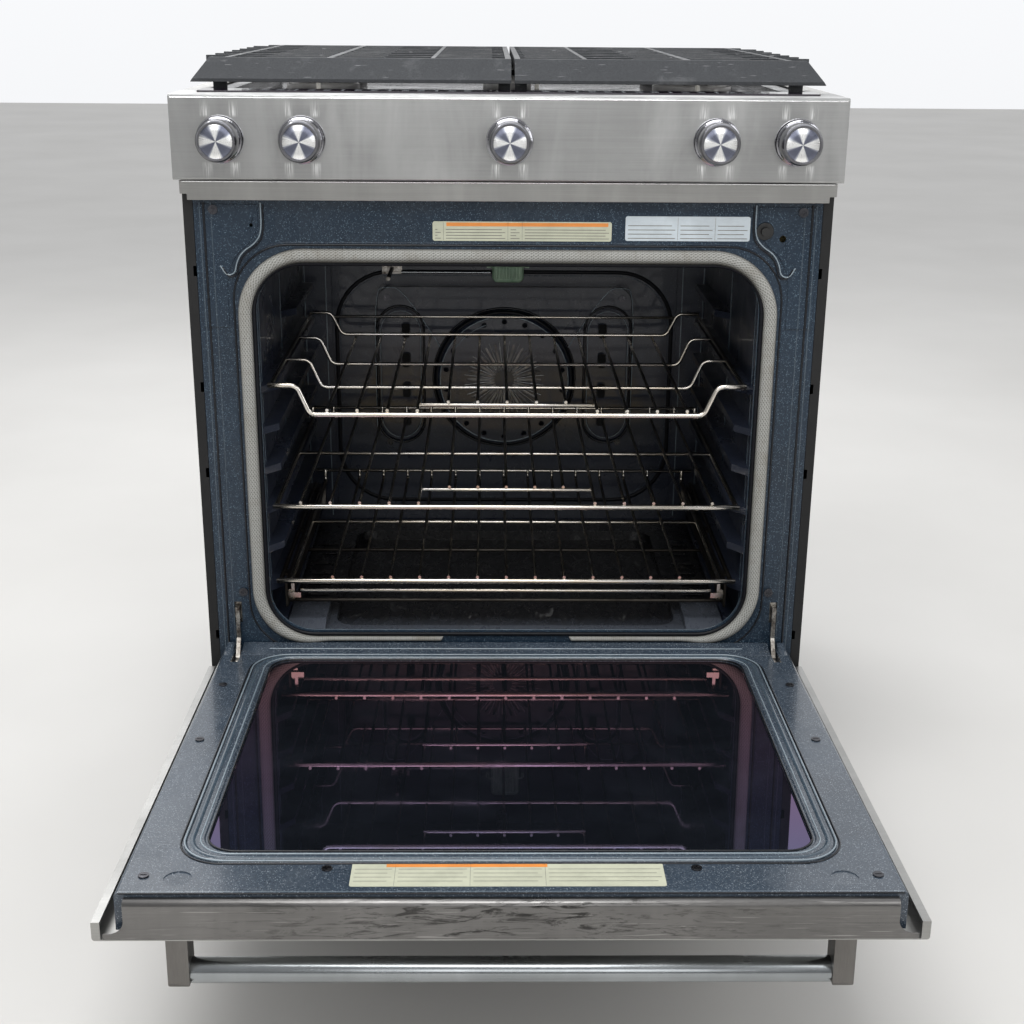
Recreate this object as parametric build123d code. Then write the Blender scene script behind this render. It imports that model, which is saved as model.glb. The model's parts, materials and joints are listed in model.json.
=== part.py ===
from build123d import *
import math
import os

# Freestanding 30 inch gas range with a convection oven, five burners and a storage drawer.
# Millimetres, +Z up, the floor at Z = 0, X to the right of a person facing the range, Y to the back.
# The pieces are laid out from the front face of the oven's enamelled frame (Y = 0). At the end they
# all shift along Y, so that the origin is the centre of the footprint with the oven door open.

# ---- body ----
BODY_HALF = 378.0          # outside of the side panels
PANEL_HALF = 382.0         # control panel and stainless deck
SHEET = 1.2                # body and oven sheet metal
HEAVY_SHEET = 1.5          # stainless front parts
BODY_BACK = 635.0
SIDE_BOTTOM = 22.0
SIDE_TOP = 903.0
PAN_Z = 30.0               # underside of the base pan
DECK_Z = 908.0             # top of the stainless deck
COOKTOP_Z = 906.0          # rim of the enamelled cooktop
REAR_COVER_Y = 622.0
REAR_COVER_LOW = 190.0
REAR_COVER_HIGH = 890.0

# ---- oven frame, mouth and cavity ----
FRAME_HALF = 366.0
FRAME_LOW = 160.0
FRAME_HIGH = 790.0
FRAME_T = 1.5
MOUTH_HALF = 300.0
MOUTH_LOW = 245.0
MOUTH_HIGH = 714.0
MOUTH_R = 56.0
MOUTH_LIP = 12.0           # depth of the rolled lip round the mouth
GASKET_HALF = 320.0        # outside of the gasket
GASKET_LOW = 227.0
GASKET_HIGH = 733.0
GASKET_W = 16.0
GASKET_R = 78.0
GASKET_OUT = 8.5           # how far it stands off the frame
GASKET_GAP = 79.0          # half of the open stretch at the bottom
CAVITY_HALF = 306.0
CAVITY_ROOF = 722.0
CAVITY_BACK = 498.0
LINER_BOTTOM = 185.0
FLOOR_RIM_Z = 226.0
FLOOR_DISH_Z = 212.0
GUIDE_PITCH = 52.5
GUIDE_FIRST = 241.5
GUIDE_COUNT = 7
GUIDE_IN = 287.0           # inner face of the rack guides
GUIDE_H = 9.0
GUIDE_FRONT = 40.0
GUIDE_REAR = 470.0
TOP_GUIDE_Z = 609.0        # short highest ledge, at the back only
TOP_GUIDE_FRONT = 250.0

# ---- door, described closed, then turned open about its hinge ----
HINGE_Y = -25.5
HINGE_Z = 211.5
DOOR_OPEN = 88.0
DOOR_HALF = 380.0
DOOR_LOW = 193.0
DOOR_HIGH = 784.0
DOOR_FRONT = -54.0
DOOR_FLANGE = -35.0        # rear edge of the outer skin's flanges
DOOR_LIP = 8.0
INNER_HALF = 360.0
INNER_HIGH = 774.5
INNER_FACE = -10.5         # enamel face towards the oven
BEAD_FACE = -9.0
TRIM_TOP = -14.5           # edge of the stainless end strip, below the enamel face
TRIM_HALF = 351.0
TRIM_FOOT = (370.0, -47.0)  # half width of its foot, and where the foot begins
WINDOW_HALF = 291.0
WINDOW_LOW = 232.0
WINDOW_HIGH = 700.0
OUTER_WINDOW = (530.0, 310.0, 485.0)   # width, height, centre height
HINGE_X = 340.0
HINGE_PIN_R = 4.0
RUNNING = 0.05             # radial clearance of a shaft in its bore
HANDLE_Z = 763.0
HANDLE_Y = -98.0
HANDLE_R = 12.0
HANDLE_HALF = 296.0
BRACKET_W = 20.0
BRACKET_H = 26.0
BRACKET_OUT = 10.8         # how far the posts pass the axis of the bar

# ---- control panel, knobs and gas train ----
PANEL_FRONT = -26.0
PANEL_LOW = 814.0
PANEL_REAR = 66.0
KNOB_Z = 859.0
KNOB_X = (-326.0, -234.0, 0.0, 234.0, 326.0)
KNOB_PUSH = 3.0            # travel of a knob when it is pushed in
BEZEL_T = 1.5
KNOB_REAR = PANEL_FRONT - BEZEL_T - KNOB_PUSH - 0.5
KNOB_DEPTH = 25.0
STEM_R = 3.0
MANIFOLD_Y = 50.0
MANIFOLD_R = 9.5
SUPPLY_X = 364.0
SUPPLY_Y = 580.0
SUPPLY_R = 6.0
INLET = (300.0, 614.0, 110.0)
INLET_R = 10.65            # half inch pipe thread, outside radius
INLET_LENGTH = 28.0

# ---- burners and grates ----
BURNERS = ((-235.0, 225.0, 46.0), (-235.0, 475.0, 36.0), (235.0, 225.0, 50.0), (235.0, 475.0, 42.0))
OVAL_BURNER = (0.0, 350.0, 150.0, 64.0)    # centre x, centre y, length along Y, width
WELL_Z = 896.0             # recessed floor of the cooktop
HEAD_H = 12.0
PORT_H = 9.0
CAP_H = 7.0
GRATE_Z = 944.0
BAR_H = 14.0
BAR_W = 6.0
GRATE_HALF = 369.0
GRATE_FRONT = 86.0
GRATE_REAR = 600.0
BAR_PITCH = 64.0

# ---- racks ----
RAIL_R = 3.0
FRONT_RAIL_R = 3.5
CROSS_R = 2.5
WIRE_R = 2.0
RACK_FRONT = 35.0
RACK_BACK = 459.0
RACK_HALF = 295.0
SIDE_RAIL_X = 292.0
WIRE_PITCH = 37.2
TOP_RAIL_Z = GUIDE_FIRST + 6 * GUIDE_PITCH + RAIL_R + 0.5
TOP_DROP = 37.0
TOP_LOW_HALF = 235.0
REAR_DROP = 32.5           # dip of the top rack's rear bar, which lies on top of the wires
STOP_HALF = 255.5
REAR_RISE = 16.5           # height of a flat rack's rear bar over its rails
REAR_BEND = 8.0
MIDDLE_RAIL_Z = GUIDE_FIRST + 3 * GUIDE_PITCH + RAIL_R + 0.5
BASE_RAIL_Z = GUIDE_FIRST + GUIDE_PITCH + RAIL_R
SHELF_RAIL_Z = 302.0
SHELF_RAIL_X = 276.0

# ---- drawer ----
DRAWER_LOW = 45.0
DRAWER_HIGH = 168.0
DRAWER_BACK_PLATE = -35.2
BOX_HALF = 331.0
BOX_LOW = 52.0
BOX_HIGH = 150.0
BOX_BACK = 440.0

# ---- burner under the roof, lamp and sensor ----
BROIL_AXIS = (130.0, 706.0)    # y, z
LAMP = (5.0, 636.0, 48.0, 58.0, 15.0)      # centre x and z, width, height, depth
SENSOR = (-170.0, 626.0)

# ---- fan ----
FAN_Z = 460.0
FAN_COVER_Y = 484.0
DOME_Y = 472.0
DOME_R = 107.0
SHAFT_R = 4.0


# ---- helpers ----
def block(x0, x1, y0, y1, z0, z1):
    """Box between two opposite corners."""
    centre = ((x0 + x1) / 2, (y0 + y1) / 2, (z0 + z1) / 2)
    return Pos(*centre) * Box(x1 - x0, y1 - y0, z1 - z0)


def rod(start, end, radius):
    """Round bar from one point to another."""
    along = Vector(*end) - Vector(*start)
    place = Plane(origin=start, z_dir=along)
    return place * Cylinder(radius, along.length, align=(Align.CENTER, Align.CENTER, Align.MIN))


def disc(x, y_front, z, radius, depth):
    """Round plate facing the front, with its front face at y_front."""
    return rod((x, y_front + depth, z), (x, y_front, z), radius)


def facing(outline, y_front, depth):
    """Plate with an outline drawn in X and Z, front face at y_front and the given depth behind it."""
    place = Plane(origin=(0, y_front + depth, 0), x_dir=(1, 0, 0), z_dir=(0, -1, 0))
    return extrude(place * outline, depth, dir=(0, -1, 0))


def side_profile(points, x0, x1):
    """Bar with a section drawn in Y and Z, from x0 to x1."""
    place = Plane(origin=(x0, 0, 0), x_dir=(0, 1, 0), z_dir=(1, 0, 0))
    return extrude(place * Polygon(*points, align=None), x1 - x0, dir=(1, 0, 0))


def upright(outline, z0, height):
    """Prism with an outline drawn in X and Y, standing on z0."""
    return extrude(Pos(0, 0, z0) * outline, height)


def rounded(half, low, high, radius):
    """Rounded rectangle in X and Z, centred on X = 0."""
    return Pos(0, (low + high) / 2) * RectangleRounded(2 * half, high - low, radius)


def pair(shape):
    """A piece and its mirror image on the other side."""
    return [shape, mirror(shape, Plane.YZ)]


def other_side(shape):
    return mirror(shape, Plane.YZ)


def bent_rod(points, radii, radius):
    """Round bar along straight runs joined by tangent arcs."""
    path = FilletPolyline(*points, radius=radii)
    section = Plane(origin=path @ 0, z_dir=path % 0) * Circle(radius)
    return sweep(section, path=path)


def screw_head(x, y_front, z, radius=5.5, height=2.0):
    """Pan head facing the front, with a cross recess."""
    head = disc(x, y_front, z, radius, height)
    cross = block(x - 3, x + 3, y_front, y_front + 1, z - 0.6, z + 0.6)
    cross += block(x - 0.6, x + 0.6, y_front, y_front + 1, z - 3, z + 3)
    return head - cross


# ---- body pieces ----
def base_pan():
    """Folded bottom pan with a weld nut for each levelling foot."""
    pan = block(-375, 375, 10, 632, PAN_Z, PAN_Z + HEAVY_SHEET)
    for x0, x1, y0, y1 in ((-375, -373.5, 10, 632), (373.5, 375, 10, 632), (-375, 375, 630.5, 632)):
        pan += block(x0, x1, y0, y1, PAN_Z, PAN_Z + 20)
    for x, y in foot_places():
        pan += Pos(x, y, PAN_Z + 6) * Cylinder(11, 12)
    for x, y in foot_places():
        pan -= Pos(x, y, PAN_Z + 6) * Cylinder(5 + RUNNING, 20)
    return pan


def foot_places():
    return [(x, y) for x in (-335, 335) for y in (50, 595)]


def levelling_feet():
    """Hexagonal foot with a threaded stud; the stud screws up into the base pan."""
    feet = []
    for x, y in foot_places():
        foot = upright(Pos(x, y) * RegularPolygon(17, 6), 0, 9)
        foot += Pos(x, y, 30) * Cylinder(5, 44)
        feet.append(foot)
    return feet


def side_panel():
    """Right side panel with its front and rear flanges; small notches in the front flange."""
    panel = block(BODY_HALF - SHEET, BODY_HALF, 0, BODY_BACK, SIDE_BOTTOM, SIDE_TOP)
    panel += block(FRAME_HALF + 0.3, BODY_HALF, 0, SHEET, SIDE_BOTTOM, SIDE_TOP)
    panel += block(BODY_HALF - 18, BODY_HALF, BODY_BACK - SHEET, BODY_BACK, SIDE_BOTTOM, SIDE_TOP)
    panel += block(BODY_HALF - 18, BODY_HALF, 0, BODY_BACK, SIDE_BOTTOM, SIDE_BOTTOM + SHEET)
    for z in (236, 452, 560, 700):
        panel -= block(FRAME_HALF, FRAME_HALF + 4, -1, 2, z, z + 12)
    return panel


def rear_cover():
    """Rear cover sheet with rows of vent slots and a hole for the power lead's gland."""
    low, high = REAR_COVER_LOW, REAR_COVER_HIGH
    cover = block(-374, 374, REAR_COVER_Y, REAR_COVER_Y + SHEET, low, high)
    cover += block(-374, 374, REAR_COVER_Y - 14, REAR_COVER_Y, high - SHEET, high)
    for row in range(2):
        for column in range(14):
            x = -260 + 40 * column
            z = 800 - 50 * row
            cover -= block(x - 4, x + 4, REAR_COVER_Y - 1, REAR_COVER_Y + 3, z - 15, z + 15)
    return cover - rod((-280, REAR_COVER_Y - 1, 240), (-280, REAR_COVER_Y + 3, 240), 9)


def power_inlet():
    """Gland for the power lead in the rear cover."""
    gland = rod((-280, REAR_COVER_Y - 6, 240), (-280, REAR_COVER_Y + 10, 240), 8.9)
    gland += rod((-280, REAR_COVER_Y + SHEET, 240), (-280, REAR_COVER_Y + 5, 240), 14)
    return gland - rod((-280, REAR_COVER_Y - 7, 240), (-280, REAR_COVER_Y + 11, 240), 4.5)


def front_frame():
    """Enamelled face of the oven: mouth with a rolled lip, raised top corners, slots and holes."""
    frame = block(-FRAME_HALF, FRAME_HALF, 0, FRAME_T, FRAME_LOW, FRAME_HIGH)
    lip = facing(rounded(MOUTH_HALF + 1.5, MOUTH_LOW - 1.5, MOUTH_HIGH + 1.5, MOUTH_R + 1.5), 0, MOUTH_LIP)
    frame += lip
    for side in (-1, 1):
        x0, x1 = sorted((side * (FRAME_HALF - 1.5), side * FRAME_HALF))
        frame += block(x0, x1, 0, 15, FRAME_LOW, FRAME_HIGH)
    for raised in pair(raised_corner()):
        frame += raised
    frame -= facing(rounded(MOUTH_HALF, MOUTH_LOW, MOUTH_HIGH, MOUTH_R), -2, MOUTH_LIP + 6)
    for slot in pair(block(HINGE_X - 4.5, HINGE_X + 4.5, -1, 3, 259, 287)):
        frame -= slot
    frame -= disc(321, -2, 747, 4, 5) + disc(-300, -2, 760, 2, 5) + disc(299.5, -2, 756, 7, 5)
    frame -= disc(299.5, -2, 756, 10.3, 2)
    return frame


def raised_corner():
    """Raised field in the frame's upper left corner, bounded by an S-shaped step."""
    with BuildSketch() as sketch:
        with BuildLine():
            Line((-FRAME_HALF + 4, FRAME_HIGH - 6), (-FRAME_HALF + 4, 640))
            Line((-FRAME_HALF + 4, 640), (-331, 640))
            Line((-331, 640), (-331, 688))
            RadiusArc((-331, 688), (-313, 731), 62)
            RadiusArc((-313, 731), (-292, 760), -52)
            Line((-292, 760), (-292, FRAME_HIGH - 6))
            Line((-292, FRAME_HIGH - 6), (-FRAME_HALF + 4, FRAME_HIGH - 6))
        make_face()
    return facing(sketch.sketch, -1.2, 1.2)


def door_gasket():
    """Woven seal round the mouth, open at the bottom in the middle, with rounded front edges."""
    w = GASKET_W
    outer = rounded(GASKET_HALF, GASKET_LOW, GASKET_HIGH, GASKET_R)
    inner = rounded(GASKET_HALF - w, GASKET_LOW + w, GASKET_HIGH - w, GASKET_R - w)
    seal = facing(outer - inner, -GASKET_OUT, GASKET_OUT)
    seal -= block(-GASKET_GAP, GASKET_GAP, -GASKET_OUT - 1, 1, GASKET_LOW - 1, GASKET_LOW + w + 1)
    front = seal.faces().sort_by(Axis.Y)[0]
    return fillet(front.edges(), 3.5)


def liner_wall():
    """Right wall of the oven, pressed into a ledge for each rack height."""
    wall = block(CAVITY_HALF, CAVITY_HALF + SHEET, MOUTH_LIP, CAVITY_BACK + SHEET, LINER_BOTTOM,
                 CAVITY_ROOF + SHEET)
    pockets = []
    ledges = [(GUIDE_FRONT, level) for level in guide_levels()] + [(TOP_GUIDE_FRONT, TOP_GUIDE_Z)]
    for start, level in ledges:
        wall += ledge(GUIDE_IN, CAVITY_HALF, start, GUIDE_REAR, level - GUIDE_H, level)
        pockets.append(ledge(GUIDE_IN + SHEET, CAVITY_HALF + 2, start + 2, GUIDE_REAR - SHEET,
                             level - GUIDE_H + SHEET, level - SHEET))
    for pocket in pockets:
        wall -= pocket
    return wall


def ledge(inside, outside, start, end, low, high):
    """Bar along the right wall whose front end runs out to the wall at a slant."""
    outline = Polygon((inside, start + 24), (inside, end), (outside, end), (outside, start), align=None)
    return extrude(Plane(origin=(0, 0, low)) * outline, high - low, dir=(0, 0, 1))


def guide_levels():
    return [GUIDE_FIRST + GUIDE_PITCH * i for i in range(GUIDE_COUNT)]


def oven_liner():
    """Walls, roof, back and bottom of the oven cavity."""
    back_edge = CAVITY_BACK + SHEET
    roof = block(-CAVITY_HALF, CAVITY_HALF, MOUTH_LIP, back_edge, CAVITY_ROOF, CAVITY_ROOF + SHEET)
    back = block(-CAVITY_HALF, CAVITY_HALF, CAVITY_BACK, back_edge, LINER_BOTTOM, CAVITY_ROOF)
    back -= disc(0, CAVITY_BACK - 1, FAN_Z, 20, 4)
    bottom = block(-CAVITY_HALF, CAVITY_HALF, MOUTH_LIP, CAVITY_BACK, LINER_BOTTOM, LINER_BOTTOM + SHEET)
    return pair(liner_wall()) + [roof, back, bottom]


def oven_floor_panel():
    """Lift-out floor over the bake burner: dished middle, raised front corners, side slots."""
    rim = block(-304, 304, 16, 494, FLOOR_RIM_Z - SHEET, FLOOR_RIM_Z)
    dish = block(-228, 228, 66, 440, FLOOR_DISH_Z - SHEET, FLOOR_RIM_Z)
    inside = block(-226, 226, 68, 438, FLOOR_DISH_Z, FLOOR_RIM_Z + 1)
    dish = fillet(dish.edges().filter_by(Axis.Z), 30)
    inside = fillet(inside.edges().filter_by(Axis.Z), 28)
    panel = rim + dish - inside
    for side in (-1, 1):
        x0, x1 = sorted((side * 236, side * 285))
        outer = side_profile(((26, 226), (62, 239), (118, 239), (130, 226)), x0, x1)
        inner = side_profile(((30, 224), (62.5, 237.6), (117.5, 237.6), (127, 224)), x0 + 1.2, x1 - 1.2)
        panel = panel + outer - inner
        for i in range(6):
            y = 170 + 40 * i
            x = side * 262
            panel -= block(x - 16, x + 16, y, y + 7, FLOOR_RIM_Z - 2, FLOOR_RIM_Z + 2)
    return panel


def oven_insulation():
    """Blankets round the oven: two sides, top, back and bottom."""
    side = block(CAVITY_HALF + 2, 352, 40, 505, 180, 760)
    top = block(-307.5, 307.5, 40, 505, CAVITY_ROOF + 2, 760)
    back = block(-352, 352, 506, 540, 180, 760) - disc(0, 505, FAN_Z, 45, 40)
    bottom = block(-307.5, 307.5, 40, 505, 172, LINER_BOTTOM - 0.5)
    return pair(side) + [top, back, bottom]


# ---- convection fan, oven burners, lamp and sensor ----
def fan_cover():
    """Rear baffle: shallow pan, domed disc with rim holes and a radial grille, two slotted pockets."""
    pan = facing(rounded(192, 344, 600, 22), FAN_COVER_Y, CAVITY_BACK - FAN_COVER_Y)
    pan -= facing(rounded(190.5, 345.5, 598.5, 20.5), FAN_COVER_Y + 1.5, CAVITY_BACK)
    dome = facing(Pos(0, FAN_Z) * Circle(DOME_R), DOME_Y, FAN_COVER_Y - DOME_Y)
    dome = chamfer(dome.faces().sort_by(Axis.Y)[0].edges(), 9)
    cover = pan + dome - disc(0, DOME_Y + 1.5, FAN_Z, DOME_R - 12, 20)
    slot = Rot(0, 0, 90) * SlotOverall(213, 70)
    tray_outer = facing(Pos(158, 464.5) * slot, FAN_COVER_Y, 8)
    tray_inner = facing(Pos(158, 464.5) * (Rot(0, 0, 90) * SlotOverall(210, 67)), FAN_COVER_Y - 15, 21.5)
    for outer, inner in zip(pair(tray_outer), pair(tray_inner)):
        cover = cover + outer - inner
    for side in (-1, 1):
        for z in (395, 440, 487, 533):
            cover -= facing(Pos(side * 150, z) * RectangleRounded(13, 24, 5), FAN_COVER_Y, 12)
    for i in range(24):
        arm = Pos(0, FAN_Z) * Rot(0, 0, 15 * i) * Pos(36, 0) * SlotOverall(42, 3.4)
        cover -= facing(arm, DOME_Y - 1, 5)
    for i in range(18):
        hole = Pos(0, FAN_Z) * Rot(0, 0, 20 * i + 10) * Pos(90, 0) * Circle(4)
        cover -= facing(hole, DOME_Y - 1, 5)
    return cover


def convection_fan():
    """Bladed wheel on its shaft."""
    wheel = disc(0, 492.5, FAN_Z, 72, 2) + disc(0, 477, FAN_Z, 11, 17)
    for i in range(12):
        blade = Pos(0, FAN_Z) * Rot(0, 0, 30 * i) * Pos(48, 0) * Rectangle(44, 1.6)
        wheel += facing(blade, 478, 15)
    return wheel + disc(0, 480, FAN_Z, SHAFT_R, 68)


def fan_motor():
    """Motor behind the oven's back wall; the fan's shaft runs in its bore."""
    motor = disc(0, 501.2, FAN_Z, 38, 56) + block(-62, 62, 499.2, 501.2, FAN_Z - 36, FAN_Z + 36)
    motor += disc(0, 557.2, FAN_Z, 14, 8)
    return motor - disc(0, 499, FAN_Z, SHAFT_R + RUNNING, 52)


def broil_burner():
    """Burner tube under the roof, its feed pipe, and a strap to the roof at each end."""
    y, z = BROIL_AXIS
    tube = rod((-150, y, z), (150, y, z), 8)
    tube += rod((0, y, z), (0, CAVITY_BACK, z), 9)
    for side in (-1, 1):
        x0, x1 = sorted((side * 148, side * 152))
        tube += block(x0, x1, y - 11, y + 11, z - 11, CAVITY_ROOF)
    for i in range(13):
        x = -132 + 22 * i
        if abs(x) > 12:
            tube -= rod((x, y, z - 12), (x, y, z), 2)
    return tube


def bake_burner():
    """Looped burner tube under the oven floor."""
    loop = bent_rod(((-150, 400, 199), (-150, 80, 199), (150, 80, 199), (150, 400, 199)), 40, 8)
    return loop + rod((-159, 400, 199), (159, 400, 199), 9.5) + rod((0, 400, 199), (0, CAVITY_BACK, 199), 8)


def oven_lamp():
    """Pressed glass cover of the oven lamp on the back wall, and the wire clip that holds it."""
    x, z, width, height, depth = LAMP
    glass = facing(Pos(x, z) * RectangleRounded(width, height, 9), CAVITY_BACK - depth, depth)
    glass = fillet(glass.faces().sort_by(Axis.Y)[0].edges(), 5)
    front = CAVITY_BACK - depth - 1.2
    side = z - 4
    clip = bent_rod(((x - 29, CAVITY_BACK - 3, side), (x - 29, front, side), (x + 29, front, side),
                     (x + 29, CAVITY_BACK - 3, side)), 5, 1.2)
    ears = []
    for ear_x in (x - 29, x + 29):
        ears.append(block(ear_x - 3, ear_x + 3, CAVITY_BACK - 5, CAVITY_BACK, side - 4, side + 4))
    return [glass, clip] + ears


def temperature_probe():
    """Sensor rod on its mounting plate, with two screws."""
    x, z = SENSOR
    y = CAVITY_BACK - 1.5
    plate = block(x - 15, x + 15, y, CAVITY_BACK, z - 8, z + 8)
    for cx in (x - 10, x + 10):
        plate += disc(cx, y - 2, z, 4, 2.5)
    return plate + rod((x, y + 1, z), (x, y - 90, z), 3)


# ---- control panel and gas train ----
def control_panel():
    """Folded stainless console with a hole for each valve stem."""
    shell = block(-PANEL_HALF, PANEL_HALF, PANEL_FRONT, PANEL_REAR, PANEL_LOW, DECK_Z)
    front = shell.edges().filter_by(Axis.X).sort_by(Axis.Y)[:2]
    shell = fillet(front, 3)
    t = HEAVY_SHEET
    shell -= block(-PANEL_HALF + t, PANEL_HALF - t, PANEL_FRONT + t, PANEL_REAR + 1, PANEL_LOW + t,
                   DECK_Z - t)
    shell -= block(-PANEL_HALF - 1, PANEL_HALF + 1, -1, PANEL_REAR + 1, PANEL_LOW - 1, PANEL_LOW + t)
    for x in KNOB_X:
        shell -= disc(x, PANEL_FRONT - 1, KNOB_Z, 7, 4)
    return shell


def vent_trim():
    """Stainless strip over the cooling-air gap between the door and the console."""
    strip = block(-BODY_HALF, BODY_HALF, -12, -12 + SHEET, FRAME_HIGH, 812)
    strip += block(-BODY_HALF, BODY_HALF, -12, -0.3, 812 - SHEET, 812)
    for side in (-1, 1):
        x0, x1 = sorted((side * (BODY_HALF - 8), side * (BODY_HALF + 1)))
        strip -= block(x0, x1, -13, -10, FRAME_HIGH - 1, FRAME_HIGH + 7)
    return strip


def touch_glass():
    """Glass of the touch controls, lying on the console behind its front edge."""
    plate = upright(Pos(0, 37) * RectangleRounded(714, 46, 3), DECK_Z, 2)
    return plate


def knob_bezels():
    """Thin chrome ring on the console behind each knob."""
    rings = []
    for x in KNOB_X:
        ring = disc(x, PANEL_FRONT - BEZEL_T, KNOB_Z, 27, BEZEL_T)
        rings.append(ring - disc(x, PANEL_FRONT - 3, KNOB_Z, 22, 5))
    return rings


def gas_valves():
    """Valve body with its outlet boss and the spud that enters the manifold, one for each burner."""
    valves = []
    for x in KNOB_X:
        valve = block(x - 14, x + 14, 8, 38, KNOB_Z - 13, KNOB_Z + 13)
        valve += rod((x, 30, KNOB_Z), (x, MANIFOLD_Y - 6, KNOB_Z), 5)
        valve += rod((x, 22, KNOB_Z + 10), (x, 22, KNOB_Z + 24), 5)
        valves.append(valve - disc(x, 7, KNOB_Z, STEM_R + RUNNING, 24))
    return valves


def gas_manifold():
    """Manifold tube along the console, supply pipe down the rear corner, and the regulator."""
    tube = rod((-345, MANIFOLD_Y, KNOB_Z), (326 + 12, MANIFOLD_Y, KNOB_Z), MANIFOLD_R)
    for x in KNOB_X:
        tube -= rod((x, 30, KNOB_Z), (x, MANIFOLD_Y - 6, KNOB_Z), 5)
    points = ((338, MANIFOLD_Y, KNOB_Z), (SUPPLY_X, MANIFOLD_Y, KNOB_Z), (SUPPLY_X, SUPPLY_Y, KNOB_Z),
              (SUPPLY_X, SUPPLY_Y, INLET[2]), (330, SUPPLY_Y, INLET[2]))
    pipe = bent_rod(points, 14, SUPPLY_R)
    x, _, z = INLET
    body = block(270, 330, 560, 600, 92, 128) + rod((x, 580, 128), (x, 580, 146), 16)
    body += block(x - 20, x + 20, 570, 590, PAN_Z + HEAVY_SHEET, 92)
    body += rod((x, 600, z), (x, 600 + INLET_LENGTH, z), INLET_R)
    return [tube, pipe, body]


def valve_stem(x):
    """Brass stem from the valve through the console into the knob."""
    return rod((x, 28, KNOB_Z), (x, -48, KNOB_Z), STEM_R)


def knob(x):
    """Round knob: skirt, slightly tapered body, chrome rim, recessed face with a pointer line."""
    front = KNOB_DEPTH
    face = front - 1           # recessed a little inside the rim
    socket = front - 4
    profile = ((STEM_R + RUNNING, 0), (25.5, 0), (25.5, 2.5), (24, 3), (23.2, 21), (21.2, front), (20, front),
               (20, face), (0, face), (0, socket), (STEM_R + RUNNING, socket))
    pointer = block(x - 0.8, x + 0.8, KNOB_REAR - front, KNOB_REAR - face + 0.4, KNOB_Z + 8, KNOB_Z + 19)
    return turned(profile, x) - pointer


def turned(profile, x):
    """Solid of revolution about a knob's axis; each point is a radius and a distance to the front."""
    place = Plane(origin=(x, KNOB_REAR, KNOB_Z), x_dir=(1, 0, 0), z_dir=(0, 0, 1))
    section = place * Polygon(*[(r, -d) for r, d in profile], align=None)
    return revolve(section, Axis((x, KNOB_REAR, KNOB_Z), (0, 1, 0)))


# ---- cooktop ----
def burner_places():
    return [(x, y) for x, y, _ in BURNERS] + [OVAL_BURNER[:2]]


def electrode_places():
    places = [(x, y - r - 9) for x, y, r in BURNERS]
    return places + [(OVAL_BURNER[0] + OVAL_BURNER[3] / 2 + 9, OVAL_BURNER[1])]


def cooktop():
    """Enamelled top with a recessed spill area and a hole for each burner and electrode."""
    top = block(-355, 355, 68, 622, COOKTOP_Z - HEAVY_SHEET, COOKTOP_Z)
    well = block(-335, 335, 92, 602, WELL_Z - HEAVY_SHEET, COOKTOP_Z)
    space = block(-333.5, 333.5, 93.5, 600.5, WELL_Z, COOKTOP_Z + 1)
    well = fillet(well.edges().filter_by(Axis.Z), 24)
    space = fillet(space.edges().filter_by(Axis.Z), 22.5)
    top = top + well - space
    for x, y in burner_places():
        top -= Pos(x, y, WELL_Z) * Cylinder(26, 12)
    for x, y in electrode_places():
        top -= Pos(x, y, WELL_Z) * Cylinder(3.4, 12)
    return top


def deck_trim():
    """Stainless trim beside and behind the cooktop; the rear piece carries the oven vent slots."""
    strip = block(356, PANEL_HALF, PANEL_REAR + 0.5, 636, DECK_Z - HEAVY_SHEET, DECK_Z)
    strip += block(PANEL_HALF - HEAVY_SHEET, PANEL_HALF, PANEL_REAR + 0.5, 636, 886, DECK_Z)
    rear = block(-355.5, 355.5, 623, 636, REAR_COVER_HIGH + 1, DECK_Z)
    for i in range(19):
        x = -270 + 30 * i
        rear -= block(x - 11, x + 11, 626.5, 632.5, REAR_COVER_HIGH, DECK_Z + 1)
    return pair(strip) + [rear]


def burner_heads():
    """Aluminium burner bodies with a ring of flame ports."""
    heads = []
    for x, y, r in BURNERS:
        head = Pos(x, y, WELL_Z + HEAD_H / 2) * Cylinder(r, HEAD_H)
        head += Pos(x, y, WELL_Z + HEAD_H + PORT_H / 2) * Cylinder(r - 6, PORT_H)
        head += Pos(x, y, WELL_Z - 10) * Cylinder(24, 20)
        head = head - port_slots(x, y, r - 6)
        heads.append(head - Pos(x, y, WELL_Z) * Cylinder(8, 80))
    x, y, length, width = OVAL_BURNER
    oval = Pos(x, y) * Rot(0, 0, 90) * SlotOverall(length, width)
    inner = Pos(x, y) * Rot(0, 0, 90) * SlotOverall(length - 12, width - 12)
    head = upright(oval, WELL_Z, HEAD_H) + upright(inner, WELL_Z + HEAD_H, PORT_H)
    head += Pos(x, y, WELL_Z - 10) * Cylinder(24, 20)
    for i in range(-4, 5):
        z = WELL_Z + HEAD_H + 2
        head -= block(x - width, x + width, y + 12 * i - 1.2, y + 12 * i + 1.2, z, z + 4)
    heads.append(head - Pos(x, y, WELL_Z) * Cylinder(8, 80))
    return heads


def port_slots(x, y, radius):
    """Narrow radial cuts round the top of a burner head."""
    z = WELL_Z + HEAD_H + 4
    slots = []
    for i in range(20):
        slots.append(Pos(x, y, z) * Rot(0, 0, 18 * i) * Pos(radius, 0, 0) * Box(14, 2.4, 4))
    return slots


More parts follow.
